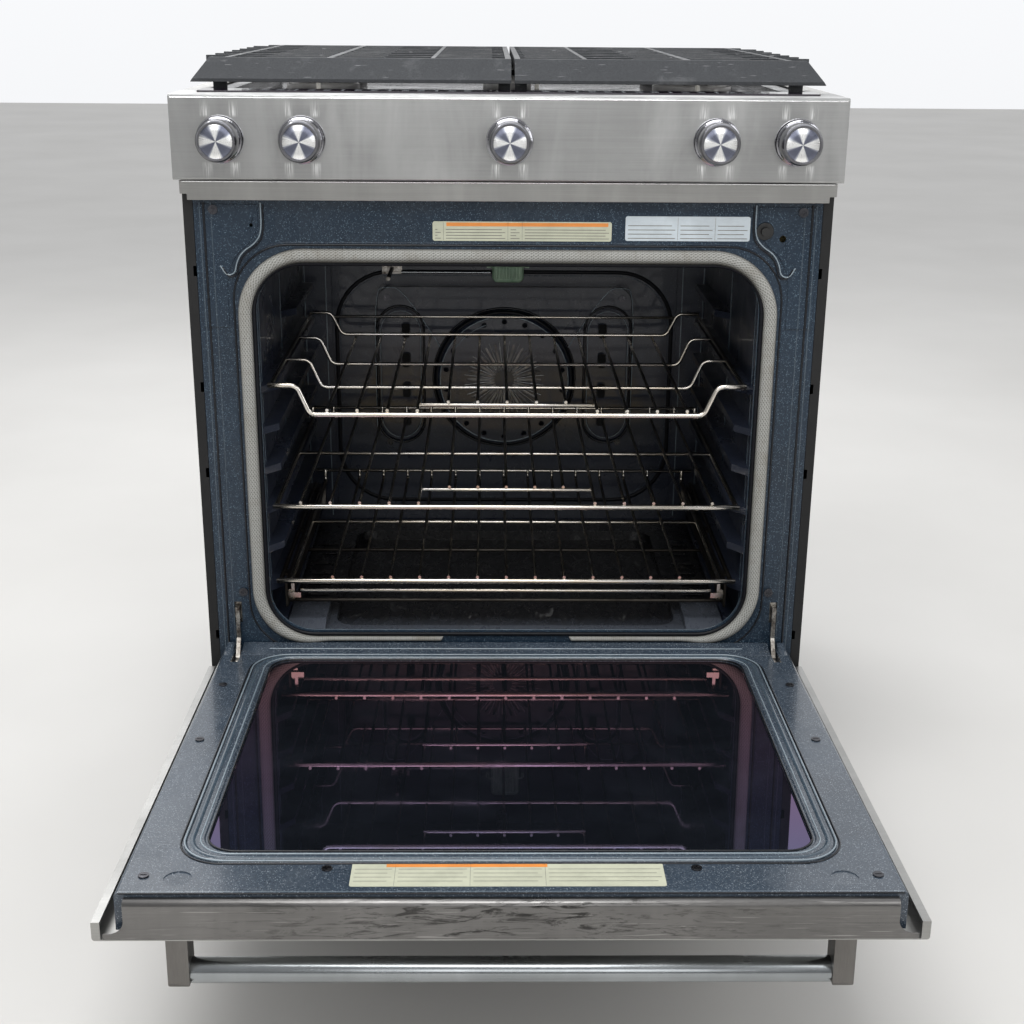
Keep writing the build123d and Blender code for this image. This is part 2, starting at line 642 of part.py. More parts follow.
def burner_caps():
    """Enamelled caps lying on the burner heads."""
    caps = []
    z = WELL_Z + HEAD_H + PORT_H
    for x, y, r in BURNERS:
        cap = Pos(x, y, z + CAP_H / 2) * Cylinder(r - 2, CAP_H)
        caps.append(fillet(cap.faces().sort_by(Axis.Z)[-1].edges(), 3))
    x, y, length, width = OVAL_BURNER
    cap = upright(Pos(x, y) * Rot(0, 0, 90) * SlotOverall(length - 6, width - 6), z, CAP_H)
    caps.append(fillet(cap.faces().sort_by(Axis.Z)[-1].edges(), 3))
    return caps


def burner_electrodes():
    """Ceramic spark electrode beside each burner, with its metal tip."""
    rods = []
    for x, y in electrode_places():
        body = Pos(x, y, 898) * Cylinder(3, 26) + Pos(x, y, 886) * Cylinder(6, 6)
        rods.append(body + Pos(x, y, 913) * Cylinder(1, 6))
    return rods


def grate(side):
    """One cast grate half: bevelled front and rear lips, cross bars, three rails and its feet."""
    inner, outer = (6.5 if side > 0 else -2.5), GRATE_HALF
    low = GRATE_Z - BAR_H
    lip = ((60, 921), (GRATE_FRONT, GRATE_Z), (GRATE_FRONT + 6, GRATE_Z), (GRATE_FRONT + 6, GRATE_Z - 8),
           (67, 917), (60, 917))
    iron = side_profile(lip, inner, outer + 3)
    iron -= end_bevel(outer)
    iron += block(inner, outer - 14, GRATE_REAR - 8, GRATE_REAR, low - 4, GRATE_Z)
    for i in range(1, 8):
        y = GRATE_FRONT + 6 + BAR_PITCH * i
        iron += block(inner, outer, y - BAR_W / 2, y + BAR_W / 2, low, GRATE_Z)
    for i in range(8):
        y = GRATE_FRONT + 6 + BAR_PITCH * (i + 0.5)
        for x0, x1 in ((20, 92), (150, 205), (218, 292)):
            iron += block(x0, x1, y - BAR_W / 2, y + BAR_W / 2, low, GRATE_Z)
    for x0, x1 in ((inner, inner + 7), (88, 93), (208, 216), (330, 337)):
        iron += block(x0, x1, GRATE_FRONT, GRATE_REAR, low, GRATE_Z)
    iron += block(20, 25, GRATE_FRONT, GRATE_REAR, low, GRATE_Z - 2)
    iron += block(288, 293, GRATE_FRONT, GRATE_REAR, low, GRATE_Z - 2)
    iron += block(150, 155, GRATE_FRONT, GRATE_REAR, low, GRATE_Z - 2)
    for y in (GRATE_FRONT + 10, GRATE_REAR - 14):
        iron += block(337, 352, y, y + 12, COOKTOP_Z, low + 2)
        iron += block(inner + 1, inner + 15, y, y + 12, WELL_Z, low + 2)
    iron += block(inner, 352, GRATE_FRONT + 8, GRATE_FRONT + 16, low, GRATE_Z - 3)
    iron += block(330, 352, GRATE_FRONT + 8, GRATE_REAR, low, low + 6)
    if side < 0:
        return other_side(iron)
    return iron


def end_bevel(outer):
    """Wedge that cuts the outer end of the front lip to a slant."""
    place = Plane(origin=(0, 50, 0), x_dir=(1, 0, 0), z_dir=(0, -1, 0))
    wedge = Polygon((352, 946), (374, 915), (390, 915), (390, 946), align=None)
    return extrude(place * wedge, 60, dir=(0, 1, 0))


# ---- door ----
def opened(shape):
    """Turns a piece of the closed door about the hinge to its open rest."""
    return shape.rotate(Axis((0, HINGE_Y, HINGE_Z), (1, 0, 0)), DOOR_OPEN)


def door_outer_skin():
    """Stainless tray: front sheet with the window, side flanges with their lips, open at the free end."""
    skin = block(-DOOR_HALF, DOOR_HALF, DOOR_FRONT, DOOR_FLANGE, DOOR_LOW, DOOR_HIGH)
    skin = fillet(skin.edges().filter_by(Axis.Z).sort_by(Axis.Y)[:2], 3)
    t = SHEET
    skin -= block(-DOOR_HALF + t, DOOR_HALF - t, DOOR_FRONT + t, DOOR_FLANGE - t, DOOR_LOW + t, DOOR_HIGH - t)
    inside = DOOR_HALF - DOOR_LIP
    skin -= block(-inside, inside, DOOR_FLANGE - 2 * t, DOOR_FLANGE + 1, DOOR_LOW + t, DOOR_HIGH + 1)
    skin -= block(-inside, inside, DOOR_FRONT + t, DOOR_FLANGE + 1, DOOR_HIGH - 2 * t, DOOR_HIGH + 1)
    width, height, centre = OUTER_WINDOW
    return skin - facing(Pos(0, centre) * RectangleRounded(width, height, 12), DOOR_FRONT - 1, 5)


def door_inner_panel():
    """Enamelled inner panel: window opening with a raised bead, side walls, vents, hinge slots."""
    low = DOOR_LOW + 1.5
    panel = block(-INNER_HALF, INNER_HALF, INNER_FACE - 38, INNER_FACE, low, INNER_HIGH)
    panel = fillet(panel.edges().filter_by(Axis.Z).sort_by(Axis.Y)[-2:], 4)
    panel -= block(-INNER_HALF + SHEET, INNER_HALF - SHEET, INNER_FACE - 40, INNER_FACE - 1.5, low + SHEET,
                   INNER_HIGH - SHEET)
    bead_outer = rounded(312, 218, 722, 42)
    bead_inner = rounded(WINDOW_HALF + 4, WINDOW_LOW - 4, WINDOW_HIGH + 5, 32)
    bead = facing(bead_outer - bead_inner, INNER_FACE, BEAD_FACE - INNER_FACE)
    bead = chamfer(bead.faces().sort_by(Axis.Y)[-1].edges(), 1.2)
    panel += bead
    panel -= facing(rounded(WINDOW_HALF, WINDOW_LOW, WINDOW_HIGH, 28), INNER_FACE - 4, 8)
    for side in (-1, 1):
        panel -= sunk_disc(side * 307, 750)
        x0, x1 = sorted((side * (HINGE_X - 4.5), side * (HINGE_X + 4.5)))
        panel -= block(x0, x1, INNER_FACE - 4, INNER_FACE + 3, DOOR_LOW, 238)
    return panel


def sunk_disc(x, z):
    """Cutter for a shallow round dimple that is deepest towards the hinge and runs out the other way."""
    radius, depth = 13.0, 1.1
    tool = rod((x, INNER_FACE, z), (x, INNER_FACE + 5, z), radius)
    tilt = math.degrees(math.atan(depth / (2 * radius)))
    return tool.rotate(Axis((x, INNER_FACE, z + radius), (1, 0, 0)), -tilt)


def door_glass_panes():
    """Inner pane behind the enamelled panel and outer pane behind the stainless skin."""
    inner = facing(rounded(WINDOW_HALF + 12, WINDOW_LOW - 12, WINDOW_HIGH + 12, 20), INNER_FACE - 4.5, 3)
    width, height, centre = OUTER_WINDOW
    outer = facing(Pos(0, centre) * RectangleRounded(width + 30, height + 30, 12), DOOR_FRONT + SHEET, 4)
    return [inner, outer]


def door_insulation():
    """Blanket in the door round the window: two sides, top and bottom."""
    y0, y1 = -46.0, -16.0
    side = block(300, 331, y0, y1, 204, 760)
    top = block(-299, 299, y0, y1, 712, 760)
    bottom = block(-299, 299, y0, y1, 204, 227)
    return pair(side) + [top, bottom]


def door_end_trim():
    """Stainless strip that closes the door's free end: rounded over at the top, with a wider foot."""
    t = SHEET
    low = DOOR_FRONT + t + 0.1
    trim = block(-TRIM_HALF, TRIM_HALF, low, TRIM_TOP, INNER_HIGH + 0.6, DOOR_HIGH)
    trim = fillet(upper_edge(trim), 6)
    hollow = block(-TRIM_HALF - 1, TRIM_HALF + 1, low - 1, TRIM_TOP - t, INNER_HIGH, DOOR_HIGH - t)
    trim -= fillet(upper_edge(hollow), 6 - t)
    half, top = TRIM_FOOT
    notch = 13.0
    foot = block(TRIM_HALF - 1, half, low, top, DOOR_HIGH - t, DOOR_HIGH)
    foot += block(TRIM_HALF - 1, TRIM_HALF + notch, top, top + notch, DOOR_HIGH - t, DOOR_HIGH)
    centre = (TRIM_HALF + notch, top + notch)
    foot -= rod((*centre, DOOR_HIGH - 2 * t), (*centre, DOOR_HIGH + 1), notch)
    for one in pair(foot):
        trim += one
    return trim


def upper_edge(shape):
    """The edge along X that is both highest in Z and furthest along Y."""
    return shape.edges().filter_by(Axis.X).sort_by(Axis.Z)[-2:].sort_by(Axis.Y)[-1:]


def door_hinge_channels():
    """Hinge channels inside the door, each with the pivot pin across it."""
    channel = block(333, 347, -50, -13, 199, 330) - block(334.5, 345.5, -48.5, -12, 198, 331)
    channel += rod((334, HINGE_Y, HINGE_Z), (346, HINGE_Y, HINGE_Z), HINGE_PIN_R)
    return pair(channel)


def hinge_arms():
    """Claw arms that hook into the frame and carry the door's pivot pins, with their receivers."""
    arm = Plane(origin=(HINGE_X - 2.5, 0, 0), x_dir=(0, 1, 0), z_dir=(1, 0, 0))
    outline = Pos(HINGE_Y, HINGE_Z) * Circle(9)
    outline += Polygon((HINGE_Y - 2.4, HINGE_Z + 1.8), (-7.4, 241), (-2.0, 241),
                       (HINGE_Y + 2.4, HINGE_Z - 1.8), align=None)
    outline += Polygon((-7.4, 240), (-7.4, 282), (32, 282), (32, 266), (-2, 266), (-2, 240), align=None)
    outline -= Pos(HINGE_Y, HINGE_Z) * Circle(HINGE_PIN_R + RUNNING)
    plate = extrude(arm * outline, 5, dir=(1, 0, 0))
    receiver = block(333, 347, 4, 36, 258, 290) - block(HINGE_X - 2.7, HINGE_X + 2.7, 3, 33, 265.8, 282.2)
    return pair(plate) + pair(receiver)


def handle_bar():
    """Round handle tube between its end brackets."""
    return rod((-HANDLE_HALF, HANDLE_Y, HANDLE_Z), (HANDLE_HALF, HANDLE_Y, HANDLE_Z), HANDLE_R)


def handle_brackets():
    """Square end posts of the handle."""
    x0, x1 = HANDLE_HALF, HANDLE_HALF + BRACKET_W
    post = block(x0, x1, HANDLE_Y - BRACKET_OUT, DOOR_FRONT, HANDLE_Z - BRACKET_H / 2,
                 HANDLE_Z + BRACKET_H / 2)
    return pair(fillet(post.faces().sort_by(Axis.Y)[0].edges(), 3))


def door_screws():
    """Pan heads on the enamelled inner panel."""
    places = ((341, 309.5), (341, 459.5), (339, 745.5), (172, 733.5))
    heads = []
    for x, z in places:
        head = rod((x, INNER_FACE, z), (x, INNER_FACE + 1.4, z), 5)
        head -= block(x - 3, x + 3, INNER_FACE + 0.7, INNER_FACE + 2, z - 0.6, z + 0.6)
        heads += pair(head)
    return heads


# ---- racks ----
def dipped_bar(y, radius, z_end, drop, half):
    """Cross bar that drops between its two ends, in five touching lengths of round bar."""
    low = z_end - drop
    knee_x, foot_x = TOP_LOW_HALF + 34, TOP_LOW_HALF
    stub = rod((half, y, z_end), (knee_x, y, z_end), radius)
    bend = bent_rod(((knee_x, y, z_end), (knee_x - 9, y, z_end), (foot_x + 9, y, low), (foot_x, y, low)),
                    12, radius)
    return [rod((-foot_x, y, low), (foot_x, y, low), radius)] + pair(stub) + pair(bend)


def rack_top():
    """Drop-centre rack: dipped bars, side rails, grid wires, hand bar and rear stop."""
    z = TOP_RAIL_Z
    low = z - TOP_DROP
    top_of_bars = low + FRONT_RAIL_R
    pieces = dipped_bar(RACK_FRONT, FRONT_RAIL_R, z, TOP_DROP, RACK_HALF)
    cross_low = top_of_bars - CROSS_R
    for y in (170, 304):
        pieces += dipped_bar(y, CROSS_R, cross_low + TOP_DROP, TOP_DROP, SIDE_RAIL_X - RAIL_R)
    pieces += pair(rod((SIDE_RAIL_X, RACK_FRONT + FRONT_RAIL_R, z), (SIDE_RAIL_X, RACK_BACK + 4, z), RAIL_R))
    wire_z = top_of_bars + WIRE_R
    rear_low = wire_z + WIRE_R + CROSS_R
    pieces += dipped_bar(RACK_BACK, CROSS_R, rear_low + REAR_DROP, REAR_DROP, SIDE_RAIL_X)
    hand_y = 80
    hand_top = wire_z - WIRE_R
    pieces.append(rod((-112, hand_y, hand_top - CROSS_R), (112, hand_y, hand_top - CROSS_R), CROSS_R))
    for i in range(-6, 7):
        x = WIRE_PITCH * i
        start = hand_y - 3 if abs(i) < 3 else RACK_FRONT - 1
        pieces.append(rod((x, start, wire_z), (x, RACK_BACK + 2, wire_z), WIRE_R))
    pieces.append(rod((-STOP_HALF, RACK_BACK, z), (STOP_HALF, RACK_BACK, z), WIRE_R))
    return pieces


def flat_grid(rail_z, rail_x, cross_y, count, hand_y=None, hand_half=0):
    """Flat rack: thick front rail, cross bars, and side rails and wires that turn up to the rear bar."""
    rear_z = rail_z + REAR_RISE
    pieces = [rod((-RACK_HALF, RACK_FRONT, rail_z), (RACK_HALF, RACK_FRONT, rail_z), FRONT_RAIL_R)]
    pieces.append(rod((-SIDE_RAIL_X, RACK_BACK, rear_z), (SIDE_RAIL_X, RACK_BACK, rear_z), CROSS_R))
    pieces += pair(turned_up(rail_x, RACK_FRONT + FRONT_RAIL_R, rail_z, rear_z, RAIL_R))
    top_of_bars = rail_z + FRONT_RAIL_R
    bar_z = top_of_bars - CROSS_R
    reach = rail_x - RAIL_R
    for y in cross_y:
        pieces.append(rod((-reach, y, bar_z), (reach, y, bar_z), CROSS_R))
    if hand_y:
        pieces.append(rod((-hand_half, hand_y, bar_z), (hand_half, hand_y, bar_z), CROSS_R))
    half_count = count // 2
    for i in range(-half_count, half_count + 1):
        x = WIRE_PITCH * i
        short = hand_y and abs(x) < hand_half - 10
        start = hand_y - 3 if short else RACK_FRONT - 1
        pieces.append(turned_up(x, start, top_of_bars + WIRE_R, rear_z, WIRE_R))
    return pieces


def turned_up(x, start, z, rear_z, radius):
    """Rail or wire that runs back at height z and turns up in front of the rear bar."""
    end = RACK_BACK - CROSS_R - radius
    return bent_rod(((x, start, z), (x, end, z), (x, end, rear_z + CROSS_R)), REAR_BEND, radius)


def rack_middle():
    """Flat rack with a hand bar."""
    return flat_grid(MIDDLE_RAIL_Z, SIDE_RAIL_X, (267,), 15, 103, 113)


def rollout_shelf():
    """Shelf that rolls out on its runners: flat grid, two runners, front brackets and front bar."""
    pieces = flat_grid(SHELF_RAIL_Z, SHELF_RAIL_X, (262,), 13)
    runner = block(278.5, 282.5, 48, 452, 271, 285)
    bracket = block(274.5, 278.5, 48, 62, 271, SHELF_RAIL_Z - RAIL_R)
    rear_bracket = block(274.5, 278.5, 430, 444, 271, SHELF_RAIL_Z - RAIL_R)
    foot = block(266, 282.5, 44, 48, 275, 282)
    pieces += pair(runner) + pair(bracket) + pair(rear_bracket) + pair(foot)
    pieces.append(rod((-266, 46, 284.6), (266, 46, 284.6), CROSS_R))
    return pieces


def rollout_base():
    """Base frame of the roll-out shelf, lying on the rack guides."""
    z = BASE_RAIL_Z
    rail = rod((SIDE_RAIL_X, 45, z), (SIDE_RAIL_X, RACK_BACK, z), RAIL_R)
    guide = block(283.2, 286, 45, 455, 262, z + 1)
    tabs = [block(286, SIDE_RAIL_X - RAIL_R, y, y + 16, z - 1.5, z + 1) for y in (70, 240, 420)]
    pieces = pair(rail) + pair(guide)
    for tab in tabs:
        pieces += pair(tab)
    for y in (62, 250, 440):
        pieces.append(rod((-283.2, y, 264.5), (283.2, y, 264.5), CROSS_R))
    return pieces


# ---- storage drawer ----
def drawer_front():
    """Hollow stainless front of the storage drawer, open underneath."""
    front = block(-DOOR_HALF, DOOR_HALF, DOOR_FRONT, DRAWER_BACK_PLATE, DRAWER_LOW, DRAWER_HIGH)
    front = fillet(front.edges().filter_by(Axis.Z).sort_by(Axis.Y)[:2], 3)
    t = SHEET
    return front - block(-DOOR_HALF + t, DOOR_HALF - t, DOOR_FRONT + t, DRAWER_BACK_PLATE - t, DRAWER_LOW - 1,
                         DRAWER_HIGH - t)


def drawer_box():
    """Open drawer pan and the runner on each side of it."""
    t = SHEET
    pan = block(-BOX_HALF, BOX_HALF, DRAWER_BACK_PLATE, BOX_BACK, BOX_LOW, BOX_HIGH)
    pan -= block(-BOX_HALF + t, BOX_HALF - t, DRAWER_BACK_PLATE + t, BOX_BACK - t, BOX_LOW + t, BOX_HIGH + 1)
    runner = block(BOX_HALF, 349, 12, BOX_BACK, 99, 121)
    return [pan] + pair(runner)


def drawer_rails():
    """Fixed channels for the drawer's runners, held off the side panels by spacers."""
    rail = block(341, 352, 6, 450, 95, 125) - block(340, 350.5, 5, 451, 97.5, 122.5)
    for y in (30, 400):
        rail += block(352, BODY_HALF - SHEET, y, y + 30, 100, 120)
    return pair(rail)


# ---- small pieces ----
def door_switch_bezel():
    """Black grommet of the lamp switch in the frame."""
    ring = disc(299.5, -2.5, 756, 10, 2.5) + disc(299.5, 0, 756, 6.9, 14)
    return ring - disc(299.5, -3, 756, 5 + RUNNING, 18)


def door_switch_plunger():
    """Plunger that the closing door would press."""
    return disc(299.5, -8, 756, 5, 20)


def body_screws():
    """Screws of the frame, the fan cover and the rear cover."""
    heads = []
    for x, y_front, z in ((343, -3.2, 778), (332, -2, 301)):
        heads += pair(screw_head(x, y_front, z))
    for x, z in ((178, 584), (177, 358)):
        heads += pair(screw_head(x, FAN_COVER_Y - 2, z, 5, 2))
    for z in (230, 520, 860):
        rear = REAR_COVER_Y + SHEET
        heads += pair(rod((350, rear, z), (350, rear + 2, z), 5))
    return heads


def build():
    """All pieces by name; a list is a group of separate solids in one node."""
    pieces = {
        "base_pan": base_pan(),
        "levelling_feet": levelling_feet(),
        "side_panels": pair(side_panel()),
        "rear_cover": rear_cover(),
        "power_inlet": power_inlet(),
        "front_frame": front_frame(),
        "door_gasket": door_gasket(),
        "oven_liner": oven_liner(),
        "oven_floor_panel": oven_floor_panel(),
        "oven_insulation": oven_insulation(),
        "fan_cover": fan_cover(),
        "fan_motor": fan_motor(),
        "convection_fan": convection_fan(),
        "broil_burner": broil_burner(),
        "bake_burner": bake_burner(),
        "oven_lamp": oven_lamp(),
        "temperature_probe": temperature_probe(),
        "control_panel": control_panel(),
        "vent_trim": vent_trim(),
        "touch_glass": touch_glass(),
        "knob_bezels": knob_bezels(),
        "gas_valves": gas_valves(),
        "gas_manifold": gas_manifold(),
        "cooktop": cooktop(),
        "deck_trim": deck_trim(),
        "burner_heads": burner_heads(),
        "burner_caps": burner_caps(),
        "burner_electrodes": burner_electrodes(),
        "grate_left": grate(-1),
        "grate_right": grate(1),
        "door_switch_bezel": door_switch_bezel(),
        "door_switch_plunger": door_switch_plunger(),
        "hinge_arms": hinge_arms(),
        "drawer_rails": drawer_rails(),
        "drawer_front": drawer_front(),
        "drawer_box": drawer_box(),
        "rack_top": rack_top(),
        "rack_middle": rack_middle(),
        "rollout_shelf": rollout_shelf(),
        "rollout_base": rollout_base(),
        "body_screws": body_screws(),
    }
    for number, x in enumerate(KNOB_X, start=1):
        pieces[f"valve_stem_{number}"] = valve_stem(x)
        pieces[f"knob_{number}"] = knob(x)
    door = {
        "door_outer_skin": door_outer_skin(),
        "door_inner_panel": door_inner_panel(),
        "door_glass_panes": door_glass_panes(),
        "door_insulation": door_insulation(),
        "door_end_trim": door_end_trim(),
        "door_hinge_channels": door_hinge_channels(),
        "handle_bar": handle_bar(),
        "handle_brackets": handle_brackets(),
        "door_screws": door_screws(),
    }
    for name, piece in door.items():
        pieces[name] = [opened(p) for p in piece] if isinstance(piece, list) else opened(piece)
    return pieces


def as_shape(piece):
    return Compound(children=piece) if isinstance(piece, list) else piece


def front_plane_y(pieces):
    """Place of the oven frame's front face, so that the whole footprint is centred on the origin."""
    boxes = [as_shape(piece).bounding_box() for piece in pieces.values()]
    return -(min(b.min.Y for b in boxes) + max(b.max.Y for b in boxes)) / 2


def main():
    os.makedirs("parts", exist_ok=True)
    pieces = build()
    shift = Pos(0, round(front_plane_y(pieces), 3), 0)
    for name, piece in pieces.items():
        placed = [shift * p for p in piece] if isinstance(piece, list) else shift * piece
        export_step(as_shape(placed), f"parts/{name}.step")
    print("front plane at Y", round(front_plane_y(pieces), 3), "nodes", len(pieces))


main()
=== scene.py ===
import json
import math

import bmesh
import bpy
from mathutils import Matrix, Vector


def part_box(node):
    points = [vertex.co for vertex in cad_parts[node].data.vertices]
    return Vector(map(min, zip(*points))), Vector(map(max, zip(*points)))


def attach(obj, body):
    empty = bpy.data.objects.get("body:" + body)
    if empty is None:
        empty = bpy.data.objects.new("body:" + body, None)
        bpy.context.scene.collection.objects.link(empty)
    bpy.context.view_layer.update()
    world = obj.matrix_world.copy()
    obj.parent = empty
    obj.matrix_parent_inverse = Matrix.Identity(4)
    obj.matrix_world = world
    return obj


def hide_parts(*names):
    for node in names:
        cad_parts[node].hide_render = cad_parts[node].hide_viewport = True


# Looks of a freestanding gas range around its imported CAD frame. Metres, +Z up, the oven door open
# towards -Y, +X to the right of a person facing the range. Names without a unit in their comment that
# are lengths of new pieces are in millimetres from the front face of the oven frame, as at() takes them.

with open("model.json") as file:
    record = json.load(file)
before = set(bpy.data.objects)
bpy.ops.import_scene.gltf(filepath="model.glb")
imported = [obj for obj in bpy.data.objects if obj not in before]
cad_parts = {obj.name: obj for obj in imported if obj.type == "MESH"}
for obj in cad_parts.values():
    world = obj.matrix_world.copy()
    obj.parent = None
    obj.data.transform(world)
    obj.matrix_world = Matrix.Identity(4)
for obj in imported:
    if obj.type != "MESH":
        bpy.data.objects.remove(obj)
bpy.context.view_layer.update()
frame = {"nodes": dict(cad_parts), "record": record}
NODES = frame["nodes"]
SLOT_OF = {s["node"]: s["material_slot"] for s in frame["record"]["subparts"]}
RAISED = 0.0012            # the frame's raised corners stand this far in front of its face
FACE_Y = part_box("front_frame")[0][1] + RAISED
MM = 0.001

# ---- camera ----
CAMERA_AT = (-0.0217, -1.7649, 1.0074)
CAMERA_YAW, CAMERA_DOWN, CAMERA_ROLL = 0.0159, 0.3306, 0.0076
LENS = 52.23


def make_camera():
    """Camera in front of the range, above the door: yaw, tilt down and roll in radians."""
    level = math.cos(CAMERA_DOWN)
    forward = Vector((math.sin(CAMERA_YAW) * level, math.cos(CAMERA_YAW) * level, -math.sin(CAMERA_DOWN)))
    right = Vector((math.cos(CAMERA_YAW), -math.sin(CAMERA_YAW), 0))
    up = right.cross(forward)
    turned_right = math.cos(CAMERA_ROLL) * right + math.sin(CAMERA_ROLL) * up
    turned_up = math.cos(CAMERA_ROLL) * up - math.sin(CAMERA_ROLL) * right
    data = bpy.data.cameras.new("camera")
    data.lens = LENS
    data.sensor_width = 36
    camera = bpy.data.objects.new("camera", data)
    camera.matrix_world = Matrix.Translation(CAMERA_AT) @ Matrix(
        (turned_right, turned_up, -forward)).transposed().to_4x4()
    bpy.context.scene.collection.objects.link(camera)
    bpy.context.scene.camera = camera


# ---- shader nodes ----
class Paint:
    """One material and a short way to write its nodes. A node given as a value means its first output."""

    def __init__(self, name, **values):
        self.material = bpy.data.materials.new(name)
        self.material.use_nodes = True
        self.tree = self.material.node_tree
        self.shader = self.tree.nodes["Principled BSDF"]
        self.place = self.add("TexCoord").outputs["Object"]
        self.set(**values)

    def set(self, **values):
        """Principled inputs, written with _ for a space."""
        for key, value in values.items():
            self.feed(self.shader.inputs[key.replace("_", " ")], value)
        return self

    def feed(self, socket, value):
        """Links a node or a socket into the socket, or sets a plain number or colour on it."""
        if isinstance(value, bpy.types.Node):
            value = value.outputs[0]
        if isinstance(value, bpy.types.NodeSocket):
            self.tree.links.new(value, socket)
        elif hasattr(socket.default_value, "__len__") and len(socket.default_value) == 4 and len(value) == 3:
            socket.default_value = (*value, 1)
        else:
            socket.default_value = value

    def add(self, kind, inputs=None, **settings):
        """New shader node of a kind, with its settings and its inputs by name."""
        made = self.tree.nodes.new("ShaderNode" + kind)
        for key, value in settings.items():
            setattr(made, key, value)
        for key, value in (inputs or {}).items():
            self.feed(made.inputs[key], value)
        return made

    def stretched(self, scale):
        """Place on the object, scaled along each axis."""
        return self.add("Mapping", {"Vector": self.place, "Scale": scale})

    def cloud(self, scale, detail=3.0, rough=0.5, stretch=(1, 1, 1), warp=0.0):
        """Noise from 0 to 1, scale in cells per metre."""
        return self.add("TexNoise", {"Vector": self.stretched(stretch), "Scale": scale, "Detail": detail,
                                     "Roughness": rough, "Distortion": warp})

    def cells(self, scale):
        """Irregular cells, scale in cells per metre."""
        return self.add("TexVoronoi", {"Vector": self.stretched((1, 1, 1)), "Scale": scale}, feature="F1")

    def ramp(self, value, stops):
        """Colour between stops, each a position and a colour or a grey."""
        made = self.add("ValToRGB", {"Fac": value})
        points = made.color_ramp.elements
        while len(points) < len(stops):
            points.new(0.5)
        for point, (at, colour) in zip(points, stops):
            point.position = at
            point.color = (*colour, 1) if hasattr(colour, "__len__") else (colour, colour, colour, 1)
        return made

    def band(self, value, low, high, start=0.0, end=1.0):
        """Value from low..high mapped to start..end and clamped."""
        return self.add("MapRange", {"Value": value, "From Min": low, "From Max": high, "To Min": start,
                                     "To Max": end})

    def blend(self, share, a, b):
        """Colour a with a share of colour b over it."""
        made = self.add("Mix", data_type="RGBA", blend_type="MIX")
        for socket, value in ((made.inputs[0], share), (made.inputs[6], a), (made.inputs[7], b)):
            self.feed(socket, value)
        return made.outputs[2]

    def math(self, how, a, b=0.0, c=0.0):
        """Sum, product or other function of up to three values."""
        made = self.add("Math", operation=how)
        for socket, value in zip(made.inputs, (a, b, c)):
            self.feed(socket, value)
        return made

    def bump(self, height, distance, strength):
        """Relief of that height in metres, added to what is there."""
        previous = self.shader.inputs["Normal"].links
        inputs = {"Height": height, "Distance": distance, "Strength": strength}
        if previous:
            inputs["Normal"] = previous[0].from_socket
        self.set(Normal=self.add("Bump", inputs))
        return self


# ---- materials ----
def scaled(colour, factor):
    """Colour made lighter or darker by a factor, kept within 1."""
    return tuple(min(1, factor * c) for c in colour)


def brushed_steel(name, tint, along="X", rough=0.30, smudge=0.14, scratch=0.0, cloudy=0.30, knob_reflections_at=()):
    """Stainless with a directional grain, cloudy handling marks and, if asked, scratches and painted
    reflections of knobs.

    knob_reflections_at lists the (x, z) places in metres of knobs whose painted reflections run above and
    below them as pale streaks."""
    p = Paint(name, Metallic=1.0)
    fine, coarse = {"X": ((9, 2600, 2600), (4, 420, 420)), "Z": ((2600, 2600, 9), (420, 420, 4)),
                    "Y": ((2600, 9, 2600), (420, 4, 420))}[along]
    grain = p.cloud(1.0, 2, 0.6, fine)
    streaks = p.cloud(1.0, 3, 0.55, coarse)
    marks = p.cloud(7.0, 6, 0.62, warp=0.8)
    wiped = p.cloud(1.0, 4, 0.6, (16, 16, 3.5), 0.4)
    colour = p.ramp(p.math("MULTIPLY_ADD", grain, 0.65, p.math("MULTIPLY", streaks, 0.35)),
                    [(0.30, scaled(tint, 0.86)), (0.70, scaled(tint, 1.14))])
    colour = p.blend(p.band(marks, 0.40, 0.70, 0, 0.35), colour, scaled(tint, 0.72))
    colour = p.blend(p.band(wiped, 0.44, 0.66, 0, cloudy), colour, scaled(tint, 1.5))
    dull = p.band(p.cloud(2.6, 3, 0.6, warp=0.6), 0.42, 0.62, 0, 0.7 * cloudy)
    colour = p.blend(dull, colour, scaled(tint, 0.55))
    # painted reflections of the knobs: pale streaks above and below each
    for x, z in knob_reflections_at:
        colour = p.blend(painted_knob_reflection(p, x, z), colour, scaled(tint, 2.3))
    if scratch:
        colour = scratched(p, colour, tint, scratch)
    roughness = p.math("MULTIPLY_ADD", grain, 0.10, p.band(marks, 0.35, 0.70, rough - 0.05, rough + smudge))
    p.set(Base_Color=colour, Roughness=roughness, Anisotropic=0.5)
    p.bump(grain, 0.00001, 0.25)
    return p.material


def scratched(p, colour, tint, amount):
    """Colour with thin bright scratches in two directions, and dark worn dents towards the middle."""
    for turn, seed in ((0.35, 31.0), (-0.5, 57.0)):
        turned = p.add("Mapping", {"Vector": p.place, "Location": (seed, 0, 0),
                                   "Rotation": (turn, turn, turn), "Scale": (14, 900, 900)})
        lines = p.add("TexNoise", {"Vector": turned, "Scale": 1.0, "Detail": 1})
        colour = p.blend(p.band(lines, 0.70, 0.75, 0, 0.5 * amount), colour, scaled(tint, 3))
    off_middle = p.math("ABSOLUTE", p.add("SeparateXYZ", {"Vector": p.place}).outputs["X"])
    dents = p.cloud(1.0, 6, 0.72, (22, 150, 150), 1.1)
    worn = p.math("MULTIPLY", p.band(dents, 0.52, 0.62, 0, amount), p.band(off_middle, 0.30, 0.06, 0.12, 1.0))
    return p.blend(worn, colour, scaled(tint, 0.10))


